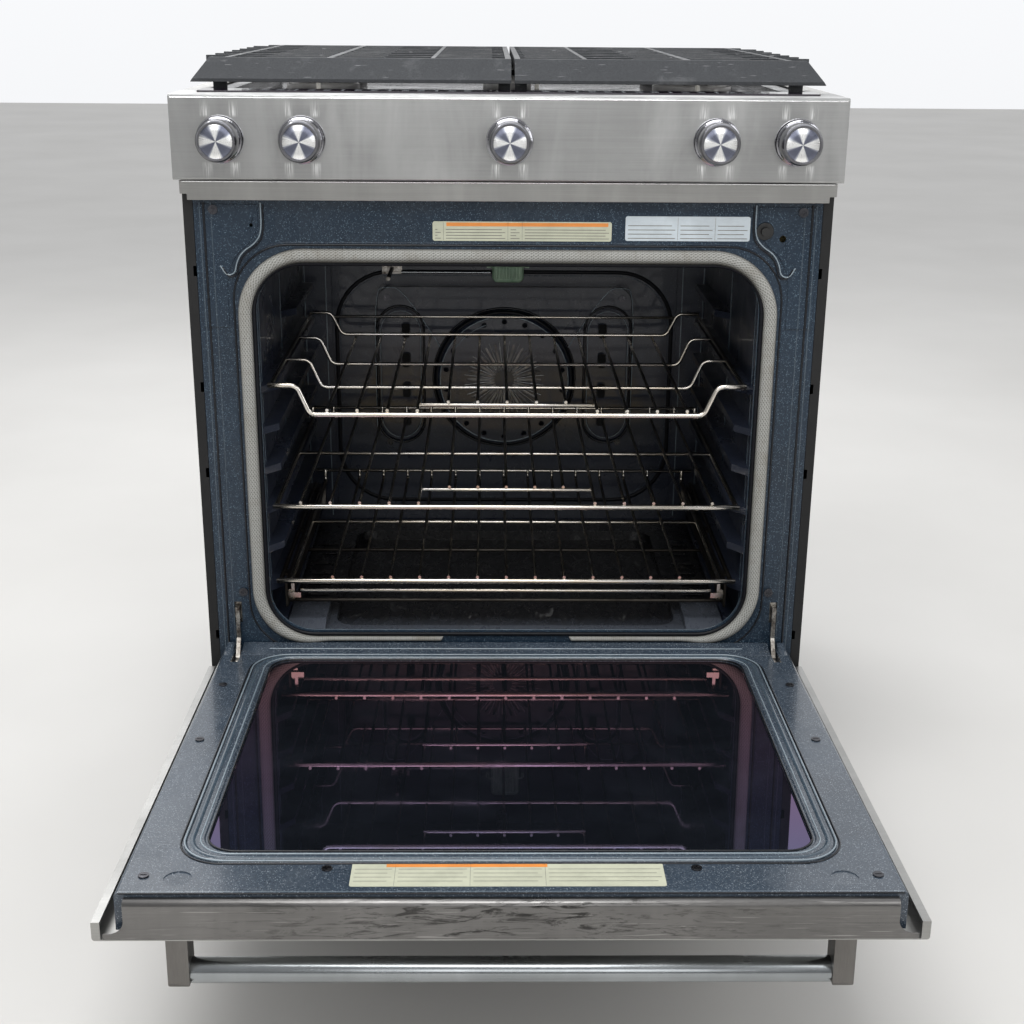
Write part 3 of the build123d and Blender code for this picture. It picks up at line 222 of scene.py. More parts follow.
def painted_knob_reflection(p, x, z):
    """Share of a knob's painted reflection: two upright streaks beside its axis, fading away above and below
    it.
    """
    split = p.add("SeparateXYZ", {"Vector": p.place})
    off = p.math("ABSOLUTE", p.math("SUBTRACT", split.outputs["X"], x))
    rise = p.math("ABSOLUTE", p.math("SUBTRACT", split.outputs["Z"], z))
    beside = p.math("MULTIPLY", p.band(off, 0.009, 0.014, 0, 1), p.band(off, 0.017, 0.022, 1, 0))
    length = p.math("MULTIPLY", p.band(rise, 0.024, 0.027, 0, 1), p.band(rise, 0.030, 0.044, 1, 0))
    hair = p.band(p.cloud(1.0, 3, 0.6, (700, 20, 30)), 0.42, 0.62, 0.0, 0.85)
    return p.math("MULTIPLY", p.math("MULTIPLY", beside, length), hair)


def enamel(name, base, light, dark, specks, rough=0.16, peel=1.0, coat=0.10, level=0.35, worn=0.0):
    """Vitreous enamel: fine light and dark specks in a glossy coat with a little orange peel.

    specks is the share of cells with a light speck, level the specular level, worn how much is rubbed."""
    p = Paint(name, Coat_Weight=coat, Coat_Roughness=0.06, Specular_IOR_Level=level)
    spots = p.cells(760)
    chosen = p.add("TexWhiteNoise", {"Vector": spots.outputs["Position"]}, noise_dimensions="3D")
    near = p.band(spots, 0.18, 0.46, 1, 0)
    light_share = p.math("MULTIPLY", near, p.band(chosen.outputs["Value"], 1 - specks, 1.0, 0, 1))
    dark_share = p.math("MULTIPLY", near, p.band(chosen.outputs["Value"], 0.0, specks * 0.8, 1, 0))
    tone = p.cloud(4.0, 5, 0.65, warp=0.5)
    colour = p.blend(p.band(tone, 0.35, 0.7), base, scaled(base, 1.45))
    colour = p.blend(dark_share, colour, dark)
    colour = p.blend(light_share, colour, light)
    haze = p.cloud(11.0, 5, 0.65, warp=0.9)
    if worn:
        rub = p.cloud(1.0, 5, 0.7, (9, 60, 9), 1.1)
        colour = p.blend(p.band(rub, 0.60, 0.78, 0, worn), colour, tuple(0.5 * (c + 0.25) for c in light))
    p.set(Base_Color=colour, Roughness=p.band(haze, 0.35, 0.72, rough, rough + 0.20))
    p.bump(p.cloud(240, 2, 0.5), 0.00006 * peel, 0.6)
    return p.material


def burnt_floor(name, front, rear):
    """Oven floor: grey enamel at the front, burnt nearly black and flaking further back."""
    p = Paint(name, Specular_IOR_Level=0.45, Coat_Weight=0.2, Coat_Roughness=0.2)
    depth = p.add("SeparateXYZ", {"Vector": p.place}).outputs["Y"]
    flakes = p.cloud(1.0, 6, 0.72, (60, 30, 60), 1.0)
    share = p.band(p.math("MULTIPLY_ADD", flakes, 0.06, depth), FACE_Y + 0.10, FACE_Y + 0.16)
    colour = p.blend(share, front, rear)
    flaked = p.math("MULTIPLY", p.band(flakes, 0.60, 0.66, 0, 0.7), share)
    p.set(Base_Color=p.blend(flaked, colour, (0.10, 0.10, 0.10)),
          Roughness=p.band(flakes, 0.4, 0.7, 0.22, 0.5))
    p.bump(flakes, 0.002, 0.6)
    return p.material


def cast_iron(name):
    """Matte enamelled iron: fine grain, paler worn patches, a few rubbed scratches."""
    p = Paint(name, Specular_IOR_Level=0.35)
    grain = p.cloud(900, 3, 0.7)
    wear = p.cloud(26, 6, 0.66, warp=0.5)
    colour = p.ramp(grain, [(0.3, (0.022, 0.024, 0.027)), (0.75, (0.056, 0.060, 0.066))])
    colour = p.blend(p.band(wear, 0.54, 0.76, 0, 0.6), colour, (0.13, 0.135, 0.14))
    lines = p.cloud(1.0, 2, 0.5, (40, 700, 90))
    colour = p.blend(p.band(lines, 0.70, 0.74, 0, 0.5), colour, (0.34, 0.34, 0.35))
    p.set(Base_Color=colour, Roughness=p.band(wear, 0.3, 0.8, 0.66, 0.44))
    p.bump(grain, 0.00012, 0.7)
    p.bump(p.cloud(150, 3, 0.6), 0.0004, 0.3)
    return p.material


def plated_wire(name):
    """Nickel plated rack wire, coloured by which way each face turns: faces turned to the front or back take
    the bright plating, a painted highlight, and all others a dark browned colour that is also painted shade,
    so wires that run to the back come out dark.
    """
    p = Paint(name, Metallic=1.0)
    facing = p.add("SeparateXYZ", {"Vector": p.add("TexCoord").outputs["Normal"]})
    # painted light by facing: bright plating on faces turned front or back, dark on the rest
    plating_by_facing = p.band(p.math("ABSOLUTE", facing.outputs["Y"]), 0.06, 0.22, 0, 1)
    tint = p.cloud(12, 4, 0.6, warp=0.4)
    plated = p.ramp(tint, [(0.30, (0.72, 0.70, 0.67)), (0.55, (0.66, 0.61, 0.53)),
                           (0.78, (0.52, 0.45, 0.35))])
    browned_and_shade = p.ramp(p.cloud(30, 3, 0.5), [(0.35, (0.050, 0.045, 0.042)), (0.75, (0.085, 0.074, 0.064))])
    p.set(Base_Color=p.blend(plating_by_facing, browned_and_shade, plated), Roughness=p.band(plating_by_facing, 0.0, 1.0, 0.42, 0.20))
    return p.material


def polished(name, colour, rough=0.06):
    """Bright chrome with faint wipe marks."""
    p = Paint(name, Metallic=1.0)
    wipe = p.cloud(30, 5, 0.65, (1, 1, 5), 0.5)
    p.set(Base_Color=p.blend(p.band(wipe, 0.4, 0.75, 0, 0.35), colour, scaled(colour, 0.7)),
          Roughness=p.band(wipe, 0.35, 0.75, rough, rough + 0.10))
    return p.material


def spun_face_highlights(name, places):
    """Turned knob faces centred on (x, z) places: bright and dark sectors painted as the highlights of a spun
    face, with fine radial lines.
    """
    p = Paint(name, Metallic=1.0, Anisotropic=0.4)
    split = p.add("SeparateXYZ", {"Vector": p.place})
    nearest = None
    for x, z in places:
        dx = p.math("SUBTRACT", split.outputs["X"], x)
        if nearest is None:
            nearest = dx
        else:
            closer = p.math("LESS_THAN", p.math("ABSOLUTE", dx), p.math("ABSOLUTE", nearest))
            nearest = p.math("ADD", p.math("MULTIPLY", closer, dx),
                             p.math("MULTIPLY", p.math("SUBTRACT", 1.0, closer), nearest))
    rise = p.math("SUBTRACT", split.outputs["Z"], places[0][1])
    angle = p.math("ARCTAN2", rise, nearest)
    # painted highlights: four bright lobes round each face and an uneven swell, by angle
    highlight_lobes = p.math("SINE", p.math("MULTIPLY_ADD", angle, 4.0, 0.5 * math.pi))
    uneven_highlight = p.math("SINE", p.math("MULTIPLY_ADD", angle, 3.0, 0.7))
    hair = p.add("TexNoise", {"W": p.math("MULTIPLY", angle, 24.0), "Scale": 1.0, "Detail": 3},
                 noise_dimensions="1D")
    value = p.math("MULTIPLY_ADD", uneven_highlight, 0.30, p.math("MULTIPLY_ADD", hair, 0.7, highlight_lobes))
    colour = p.ramp(p.band(value, -0.5, 1.2), [(0.25, (0.16, 0.17, 0.22)), (0.5, (0.40, 0.42, 0.48)),
                                               (0.75, (0.95, 0.95, 0.94))])
    p.set(Base_Color=colour, Roughness=p.band(hair, 0.3, 0.7, 0.22, 0.34))
    return p.material


def dull_metal(name, light, dark, rough=0.42, cell=0.0, grain=18):
    """Plain metal: zinc spangle in cells, cast skin or machining marks by its colours."""
    p = Paint(name, Metallic=1.0)
    tone = p.cloud(grain, 5, 0.6)
    colour = p.ramp(tone, [(0.3, dark), (0.7, light)])
    if cell:
        spangle = p.cells(cell)
        colour = p.blend(p.math("MULTIPLY", spangle.outputs["Color"], 0.35), colour, scaled(light, 1.3))
    p.set(Base_Color=colour, Roughness=p.band(p.cloud(140, 3, 0.6), 0.3, 0.7, rough - 0.1, rough + 0.12))
    p.bump(p.cloud(560, 2, 0.6), 0.00008, 0.5)
    return p.material


def painted(name, colour, rough=0.38, peel=0.5):
    """Satin paint or moulded plastic with a fine texture and soft scuffs."""
    p = Paint(name)
    scuff = p.cloud(20, 6, 0.68, warp=0.7)
    scuffed = tuple(min(1, 1.9 * c + 0.003) for c in colour)
    p.set(Base_Color=p.blend(p.band(scuff, 0.5, 0.8, 0, 0.5), colour, scuffed),
          Roughness=p.band(scuff, 0.35, 0.75, rough - 0.05, rough + 0.18))
    p.bump(p.cloud(700, 2, 0.6), 0.00006, peel)
    return p.material


def coated_glass(name, base, film, rough=0.015):
    """Dark heat-reflecting glass: coloured thin-film sheen and faint smears."""
    p = Paint(name, IOR=1.9, Specular_IOR_Level=0.75, Thin_Film_Thickness=film, Thin_Film_IOR=1.09)
    smear = p.cloud(10, 6, 0.7, (1, 1, 1), 1.2)
    p.set(Base_Color=p.blend(p.band(smear, 0.4, 0.75), base, scaled(base, 1.8)),
          Roughness=p.band(smear, 0.5, 0.85, rough, rough + 0.08))
    return p.material


def pressed_glass(name):
    """Greenish pressed glass, frosted unevenly."""
    p = Paint(name, Specular_IOR_Level=0.6)
    frost = p.cloud(60, 4, 0.6, (1, 1, 0.3))
    p.set(Base_Color=p.ramp(frost, [(0.3, (0.20, 0.34, 0.22)), (0.7, (0.42, 0.60, 0.42))]),
          Roughness=p.band(frost, 0.3, 0.7, 0.08, 0.26))
    return p.material


def wool(name):
    """Yellow mineral wool."""
    p = Paint(name, Roughness=0.95)
    fibre = p.cloud(90, 6, 0.75, (1, 1, 4), 1.0)
    p.set(Base_Color=p.ramp(fibre, [(0.3, (0.42, 0.33, 0.14)), (0.7, (0.72, 0.62, 0.34))]))
    p.bump(fibre, 0.002, 0.8)
    return p.material


def woven_seal(name):
    """Braided glass fibre: pale yarns, browned by grease in places, with painted shade between the yarns, on
    faces turned down and on the rope's flanks.
    """
    p = Paint(name, Roughness=0.85, Specular_IOR_Level=0.2)
    dirt = p.cloud(9, 6, 0.68, warp=0.8)
    fibre = p.cloud(900, 3, 0.6)
    # painted shade between the yarns: darker where the yarn lies low
    depth = p.add("Attribute", attribute_name="yarn").outputs["Fac"]
    colour = p.ramp(depth, [(0.15, (0.070, 0.068, 0.060)), (0.55, (0.20, 0.20, 0.185)),
                            (0.9, (0.38, 0.38, 0.36))])
    colour = p.blend(p.band(fibre, 0.35, 0.7, 0, 0.3), colour, (0.34, 0.34, 0.32))
    colour = p.blend(p.band(dirt, 0.50, 0.72, 0, 0.6), colour, (0.13, 0.105, 0.07))
    # painted shade on faces turned down and on the rope's flanks
    side = p.add("SeparateXYZ", {"Vector": p.add("TexCoord").outputs["Normal"]})
    under = p.band(side.outputs["Z"], -0.15, -0.75, 0, 0.8)
    flank_shade = p.band(p.math("ABSOLUTE", side.outputs["Y"]), 0.80, 0.25, 0, 0.72)
    colour = p.blend(flank_shade, colour, (0.050, 0.048, 0.042))
    p.set(Base_Color=p.blend(under, colour, (0.045, 0.042, 0.034)))
    p.bump(fibre, 0.0003, 0.6)
    return p.material


def ceramic(name):
    """White ceramic of the electrodes, sooted in places."""
    p = Paint(name)
    soot = p.cloud(120, 4, 0.6)
    p.set(Base_Color=p.ramp(soot, [(0.4, (0.80, 0.79, 0.74)), (0.75, (0.45, 0.40, 0.34))]),
          Roughness=p.band(soot, 0.3, 0.7, 0.25, 0.5))
    return p.material


def sticker(name, colour):
    """Printed label film with faint yellowing and soft wrinkles."""
    p = Paint(name, Specular_IOR_Level=0.4)
    age = p.cloud(40, 4, 0.6)
    p.set(Base_Color=p.blend(p.band(age, 0.35, 0.7), colour, scaled(colour, 0.82)),
          Roughness=p.band(age, 0.3, 0.7, 0.30, 0.50))
    p.bump(p.cloud(120, 3, 0.6), 0.00008, 0.5)
    return p.material


KNOBS = [((low[0] + high[0]) / 2, (low[2] + high[2]) / 2) for low, high in
         (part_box(f"knob_{i}") for i in range(1, 6))]
MATERIALS = {                               # by the record's material slot
    "stainless": brushed_steel("stainless", (0.365, 0.362, 0.350)),
    "black_side": painted("black_side", (0.0020, 0.0020, 0.0023), 0.62),
    "frame_enamel": enamel("frame_enamel", (0.010, 0.020, 0.034), (0.15, 0.22, 0.28), (0.003, 0.006, 0.012),
                           specks=0.45, rough=0.18),
    "cavity_enamel": enamel("cavity_enamel", (0.0165, 0.0210, 0.0350), (0.11, 0.13, 0.16),
                            (0.003, 0.003, 0.004), specks=0.14, rough=0.24, coat=0.30, level=0.45, worn=0.16),
    "cooktop_enamel": enamel("cooktop_enamel", (0.008, 0.008, 0.010), (0.05, 0.05, 0.055),
                             (0.002, 0.002, 0.002), specks=0.10, rough=0.10),
    "galvanised": dull_metal("galvanised", (0.60, 0.61, 0.62), (0.42, 0.43, 0.45), 0.38, 55),
    "cast_iron": cast_iron("cast_iron"),
    "rack_wire": plated_wire("rack_wire"),
    "bright_chrome": polished("bright_chrome", (0.46, 0.46, 0.48)),
    "knob_metal": polished("knob_metal", (0.30, 0.30, 0.32), 0.05),
    "dark_glass": coated_glass("dark_glass", (0.005, 0.006, 0.008), 640.0),
    "control_glass": coated_glass("control_glass", (0.008, 0.005, 0.010), 124.0, 0.05),
    "lamp_glass": pressed_glass("lamp_glass"),
    "gasket_weave": woven_seal("gasket_weave"),
    "mineral_wool": wool("mineral_wool"),
    "black_plastic": painted("black_plastic", (0.010, 0.010, 0.010), 0.45),
    "zinc_screw": dull_metal("zinc_screw", (0.10, 0.10, 0.11), (0.03, 0.03, 0.035), 0.28),
    "burner_aluminium": dull_metal("burner_aluminium", (0.55, 0.54, 0.53), (0.34, 0.33, 0.32), 0.46),
    "brass": dull_metal("brass", (0.72, 0.55, 0.28), (0.52, 0.38, 0.18), 0.32),
    "ceramic": ceramic("ceramic"),
    "hinge_steel": dull_metal("hinge_steel", (0.55, 0.53, 0.49), (0.05, 0.035, 0.025), 0.32, grain=95),
}
FINISHES = {                                # for new pieces, and for nodes that differ from their slot
    # the pale streaks beside its knobs are painted reflections of them
    "console": brushed_steel("console_steel", (0.41, 0.412, 0.408), smudge=0.20, cloudy=0.55,
                             knob_reflections_at=KNOBS),
    "worn_steel": brushed_steel("worn_steel", (0.190, 0.185, 0.180), rough=0.26, scratch=0.8),
    "post_steel": brushed_steel("post_steel", (0.175, 0.167, 0.158), along="Z", rough=0.30),
    "bar_steel": brushed_steel("bar_steel", (0.33, 0.35, 0.36), rough=0.20, smudge=0.06),
    "door_enamel": enamel("door_enamel", (0.030, 0.042, 0.058), (0.30, 0.34, 0.38), (0.010, 0.014, 0.020),
                          specks=0.5, coat=0.25, level=0.5, worn=0.12),
    # paler enamel for bright lines along pressed edges: a painted highlight
    "edge_highlight": enamel("edge_highlight", (0.16, 0.20, 0.23), (0.30, 0.36, 0.40), (0.05, 0.07, 0.09),
                         specks=0.2, rough=0.12, coat=0.6, level=0.7),
    # enamel paler than the frame's and the cavity's: a painted highlight on their pressed lines; on the door
    # close to its own colour
    "fold": enamel("fold", (0.035, 0.052, 0.070), (0.20, 0.26, 0.30), (0.01, 0.015, 0.02),
                   specks=0.3, coat=0.4),
    # near-black enamel for dark lines along steps, folds and rims: painted shade
    "groove_shade": enamel("groove_shade", (0.0025, 0.0035, 0.006), (0.02, 0.025, 0.03), (0.001, 0.001, 0.001),
                         specks=0.2, rough=0.20),
    "spun_highlights": spun_face_highlights("spun_highlights", KNOBS),
    "cream": sticker("cream", (0.52, 0.53, 0.41)),
    "orange": sticker("orange", (0.75, 0.27, 0.06)),
    "white": sticker("white", (0.56, 0.62, 0.66)),
    "grey_ink": sticker("grey_ink", (0.20, 0.195, 0.17)),
    # pale polished beads on folded edges: a painted highlight
    "painted_edge_highlight": polished("painted_edge_highlight", (0.86, 0.86, 0.86), 0.22),
    "burnt_wire": dull_metal("burnt_wire", (0.075, 0.068, 0.060), (0.035, 0.031, 0.028), 0.45),
    "floor_enamel": burnt_floor("floor_enamel", (0.075, 0.085, 0.105), (0.006, 0.006, 0.007)),
    "pale": sticker("pale", (0.42, 0.50, 0.47)),
    "outer_pane": painted("outer_pane", (0.004, 0.004, 0.005), 0.04, 0.0),
    # black of the slot plates: painted shade
    "black": painted("black", (0.0012, 0.0012, 0.0014), 0.8),
    "shade": enamel("shade", (0.0028, 0.0034, 0.0055), (0.02, 0.02, 0.03), (0.001, 0.001, 0.001),
                    specks=0.2, rough=0.35, coat=0, level=0.2),
}
NODE_FINISH = {
    "control_panel": "console", "door_end_trim": "worn_steel", "handle_brackets": "post_steel",
    "handle_bar": "bar_steel", "door_inner_panel": "door_enamel", "oven_floor_panel": "floor_enamel",
    "rollout_base": "burnt_wire",
}


# ---- carried-over CAD nodes ----
EDGE_WIDTH = 0.0004                         # bevel of most nodes, in metres
EDGE = {"grate_left": 0.0015, "grate_right": 0.0015, "oven_liner": 0.0025, "oven_floor_panel": 0.002,
        "control_panel": 0.0010, "vent_trim": 0.0006, "door_inner_panel": 0.0006}


def dress_cad():
    """CAD nodes that stay: merged and softly bevelled edges, and the material of their slot."""
    for name, node in NODES.items():
        weld = node.modifiers.new("weld", "WELD")
        weld.merge_threshold = 1e-5
        edge = node.modifiers.new("edge", "BEVEL")
        edge.width = EDGE.get(name, EDGE_WIDTH)
        edge.segments = 2
        edge.limit_method = "ANGLE"
        edge.angle_limit = math.radians(35)
        edge.harden_normals = True
        finish = NODE_FINISH.get(name)
        for place in node.material_slots:
            place.material = FINISHES[finish] if finish else MATERIALS[SLOT_OF[name]]


def darken_outer_pane():
    """The door's outer pane, lower in the open door than the inner one, has no coating."""
    panes = NODES["door_glass_panes"]
    low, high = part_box("door_glass_panes")
    panes.data.materials.append(FINISHES["outer_pane"])
    for face in panes.data.polygons:
        if (panes.matrix_world @ face.center).z < (low[2] + high[2]) / 2:
            face.material_index = len(panes.material_slots) - 1


# ---- new pieces ----
def hinge_turn():
    """Turn of the closed door to its open rest, as the record's hinge has it."""
    joint = next(j for j in frame["record"]["behaviour"]["joints"] if j["name"] == "door_hinge")
    pivot = Vector(joint["pos_m"])
    angle = -math.radians(joint["range_deg"][0])
    return Matrix.Translation(pivot) @ Matrix.Rotation(angle, 4, "X") @ Matrix.Translation(-pivot)


DOOR_TURN = hinge_turn()
AS_IS = Matrix.Identity(4)
SQUARE = ((-1, -1), (1, -1), (1, 1), (-1, 1))


def at(x, y, z):
    """Place in the row frame of a point in millimetres from the front face of the oven frame."""
    return Vector((x * MM, y * MM + FACE_Y, z * MM))


def finished(name, data, material, body):
    """Adds a piece to the scene, riding on a body."""
    piece = bpy.data.objects.new(name, data)
    bpy.context.scene.collection.objects.link(piece)
    data.materials.append(material)
    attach(piece, body)
    return piece


def mesh_of(name, made, outward=True, smooth=True):
    """Mesh of a finished bmesh. A flat print keeps its faces as they are; flat sides aren't smoothed."""
    if outward:
        bmesh.ops.recalc_face_normals(made, faces=made.faces)
    mesh = bpy.data.meshes.new(name)
    made.to_mesh(mesh)
    made.free()
    if smooth:
        mesh.shade_smooth()
    return mesh


def bead(name, points, radius, material, body, closed=False, turn=AS_IS):
    """Round bead along points given in millimetres from the frame's face; turn places it on the door."""
    curve = bpy.data.curves.new(name, "CURVE")
    curve.dimensions = "3D"
    curve.bevel_depth = radius * MM
    curve.bevel_resolution = 2
    curve.use_fill_caps = True
    line = curve.splines.new("POLY")
    line.points.add(len(points) - 1)
    for point, place in zip(line.points, points):
        point.co = (*(turn @ at(*place)), 1)
    line.use_cyclic_u = closed
    return finished(name, curve, material, body)


def ring(half, low, high, radius, y, gap=0.0, steps=10):
    """Rounded rectangle in X and Z at depth y, from the bottom middle round to it again."""
    corners = ((half - radius, low + radius, -90), (half - radius, high - radius, 0),
               (radius - half, high - radius, 90), (radius - half, low + radius, 180))
    points = [(gap, y, low)] if gap else []
    for x, z, start in corners:
        for i in range(steps + 1):
            angle = math.radians(start + 90 * i / steps)
            points.append((x + radius * math.cos(angle), y, z + radius * math.sin(angle)))
    return points + ([(-gap, y, low)] if gap else [])


def softened(points, rounds=3):
    """Open line with its corners cut again and again until it is smooth."""
    line = [Vector(p) for p in points]
    for _ in range(rounds):
        cut = [line[0]]
        for a, b in zip(line, line[1:]):
            cut += [a.lerp(b, 0.25), a.lerp(b, 0.75)]
        line = cut + [line[-1]]
    return [tuple(p) for p in line]


def mirrored(points):
    """The same points on the other side of the range."""
    return [(-x, y, z) for x, y, z in points]


def evenly(points, step):
    """The same line with points a step apart."""
    line = [Vector(p) for p in points]
    out, carried = [line[0]], 0.0
    for a, b in zip(line, line[1:]):
        length = (b - a).length
        while carried + length >= step:
            a = a + (b - a) * ((step - carried) / length)
            length = (b - a).length
            carried = 0.0
            out.append(a)
        carried += length
    return out


GASKET = {"half": 304.0, "low": 240.5, "high": 717.0, "radius": 64.0, "gap": 80.0}    # its inner edge
GASKET_WIDE, GASKET_TALL = 8.0, 7.0         # half width and height of the rope
GASKET_THIN = 3.3                           # half width along the sill
THIN_LENGTH, WIDENING = 140.0, 75.0         # how long it stays thin from each end, and then widens
ROW_STEP = 1.1                              # distance of its cross sections, and their corners
ROW_CORNERS = 22
YARNS, BRAID_PITCH = 14, 5.2                # yarns across the braid, and its pitch
YARN_LIFT = 0.30


def gasket():
    """Braided seal: crossing yarns on a half-round rope, thin along the sill and open in its middle."""
    line = evenly(ring(GASKET["half"], GASKET["low"], GASKET["high"], GASKET["radius"], 0, GASKET["gap"], 24),
                  ROW_STEP)
    made = bmesh.new()
    rows = []
    yarn_heights = []
    last = len(line) - 1
    for i, point in enumerate(line):
        along = (line[min(i + 1, last)] - line[max(i - 1, 0)]).normalized()
        row, heights = gasket_row(made, point, along, ROW_STEP * min(i, last - i), ROW_STEP * i)
        rows.append(row)
        yarn_heights += heights
    for a, b in zip(rows, rows[1:]):
        for j in range(ROW_CORNERS):
            made.faces.new((a[j], b[j], b[j + 1], a[j + 1]))
        made.faces.new((a[ROW_CORNERS], b[ROW_CORNERS], b[0], a[0]))
    made.faces.new(rows[0])
    made.faces.new(list(reversed(rows[-1])))
    mesh = mesh_of("gasket_braid", made)
    layer = mesh.attributes.new("yarn", "FLOAT", "POINT")
    layer.data.foreach_set("value", yarn_heights)
    piece = finished("gasket_braid", mesh, MATERIALS["gasket_weave"], "range_body")
    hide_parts("door_gasket")


def gasket_row(made, point, along, from_end, walked):
    """One half-round cross section of the seal: its corners, and how high the yarn is at each, 0 to 1."""
    out = Vector((along.z, 0, -along.x))
    full = min(1.0, max(0.0, (from_end - THIN_LENGTH) / WIDENING))
    half = GASKET_THIN + (GASKET_WIDE - GASKET_THIN) * full * full * (3 - 2 * full)
    half *= min(1.0, (0.25 + from_end / 4.0))
    tall = min(GASKET_TALL, 1.15 * half)
    phase = walked / BRAID_PITCH * 2 * math.pi
    point = point + half * out
    row, heights = [], []
    for j in range(ROW_CORNERS + 1):
        turn = math.pi * j / ROW_CORNERS
        yarn = max(math.sin(YARNS * turn + phase), math.sin(YARNS * turn - phase))
        lift = YARN_LIFT * min(1.0, half / 5.0) * yarn
        wide = (half + lift) * math.cos(turn)
        high = (tall + lift) * math.sin(turn) ** 0.8
        place = point + out * wide + Vector((0, -high, 0))
        row.append(made.verts.new(at(place.x, place.y, place.z)))
        heights.append(0.5 + 0.5 * yarn)
    return row, heights


KNOB_DISC = ((0.0, 0.35), (0.012, 0.42), (0.0180, 0.62), (0.0188, 0.95), (0.0188, 1.3))
KNOB_GAP = ((0.0225, 1.0), (0.0226, 0.3), (0.0040, 0.3))


def knob_faces():
    """Spun metal disc with painted highlights in each knob, a little crowned, and a black ring behind the
    knob that paints the shade in the gap round it.
    """
    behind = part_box("knob_bezels")[0][1]
    for number, (x, z) in enumerate(KNOBS, 1):
        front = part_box(f"knob_{number}")[0][1]
        disc = turned_disc(f"knob_face_{number}", Vector((x, front, z)), KNOB_DISC)
        finished(disc.name, disc, FINISHES["spun_highlights"], f"knob_body_{number}")
        # black disc in the gap behind the knob: painted shade
        shade = turned_disc(f"knob_gap_{number}", Vector((x, behind, z)), KNOB_GAP)
        finished(shade.name, shade, MATERIALS["black_plastic"], "range_body")


def turned_disc(name, centre, profile, steps=64):
    """Surface of revolution about Y. Each profile point is a radius in metres and a depth in mm."""
    made = bmesh.new()
    rows = []
    for radius, depth in profile:
        if not radius:
            rows.append(made.verts.new(centre + Vector((0, depth * MM, 0))))
            continue
        turns = [2 * math.pi * i / steps for i in range(steps)]
        rows.append([made.verts.new(centre + Vector((radius * math.cos(t), depth * MM, radius * math.sin(t))))
                     for t in turns])
    for a, b in zip(rows, rows[1:]):
        for i in range(steps):
            j = (i + 1) % steps
            if isinstance(a, bmesh.types.BMVert):
                made.faces.new((a, b[i], b[j]))
            else:
                made.faces.new((a[i], b[i], b[j], a[j]))
    return mesh_of(name, made)


MOUTH_HALF, MOUTH_LOW, MOUTH_HIGH = 300.0, 245.0, 714.0
FRAME_LOW, CORNERS_LOW, FRAME_HIGH = 164, 640, 786      # the raised corners begin at CORNERS_LOW


def frame_relief():
    """Pressed lines of the enamelled frame: corner curves, step round the seal, folds, edge of the mouth.
    Their pale beads are painted highlights and their dark beads painted shade.
    """
    corner = softened(((-288, -1.4, FRAME_HIGH), (-288, -1.4, 752), (-296, -1.4, 739), (-312, -1.4, 729),
                       (-319, -1.4, 716), (-321, -1.4, 704), (-331, -1.4, 701), (-338, -1.4, 713)))
    for side, points in (("left", corner), ("right", mirrored(corner))):
        bead(f"corner_curve_{side}", points, 0.9, FINISHES["edge_highlight"], "range_body")
        inner = [(x - math.copysign(2.6, x), y, z - 2.0) for x, y, z in points]
        bead(f"corner_shade_{side}", inner, 0.9, FINISHES["groove_shade"], "range_body")
    bead("seal_step", ring(324.5, 221, 737.5, 66, 0.2), 1.3, FINISHES["groove_shade"], "range_body", True)
    bead("seal_step_light", ring(327, 218.5, 740, 68, 0.45), 0.8, MATERIALS["frame_enamel"], "range_body",
         True)
    folds = ((354, 1.5, "groove_shade"), (358.5, 1.1, "fold"), (345.5, 0.8, "fold"))
    for side, word in ((-1, "left"), (1, "right")):
        for number, (x, size, finish) in enumerate(folds):
            name = f"frame_fold_{word}_{number}"
            y = 0.2 - RAISED / MM
            bead(name, [(side * x, y, CORNERS_LOW), (side * x, y, FRAME_HIGH)], size, FINISHES[finish],
                 "range_body")
            bead(name + "_low", [(side * x, 0.3, FRAME_LOW), (side * x, 0.3, CORNERS_LOW)], size,
                 FINISHES[finish], "range_body")
    bead("mouth_shade", ring(MOUTH_HALF + 1.6, MOUTH_LOW - 1.6, MOUTH_HIGH + 1.6, 57.6, -0.1), 2.6,
         FINISHES["shade"], "range_body", True)
    bead("mouth_line", ring(MOUTH_HALF - 0.2, MOUTH_LOW + 0.2, MOUTH_HIGH - 0.2, 56.0, 9.0), 0.7,
         FINISHES["fold"], "range_body", True)


def console_edges():
    """Pale beads along the folded top edges of the console and of the vent strip under it: painted
    highlights.
    """
    panel_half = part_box("control_panel")[1][0] / MM
    depth, height = console_corner()
    trim_low, trim_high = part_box("vent_trim")
    trim_depth = (trim_low[1] - FACE_Y) / MM
    for name, half, y, z in (
            ("console_top_edge", panel_half - 2, depth + 0.5, height - 0.5),
            ("trim_top_edge", trim_high[0] / MM - 3, trim_depth + 0.6, trim_high[2] / MM - 1.0)):
        bead(name, [(-half, y, z), (half, y, z)], 0.9, FINISHES["painted_edge_highlight"], "range_body")


def console_corner():
    """Depth and height in mm of the console's upper front edge: its foremost point at the top."""
    points = [v.co for v in NODES["control_panel"].data.vertices]
    top = max(points, key=lambda v: v.z).z
    front = min((v for v in points if v.z > top - 0.004), key=lambda v: v.y)
    return (front.y - FACE_Y) / MM, front.z / MM


BACK = 498.0                                # depth of the back wall, and of its pressed middle field
FIELD = 483.6
POCKET_X, POCKET_LOW, POCKET_HIGH, POCKET_R = 158, 393.0, 536.0, 35.5
POCKET_Z = (POCKET_LOW + POCKET_HIGH) / 2
SLOT_HEIGHTS = (395, 440, 487, 533)
FAN_Z = 460


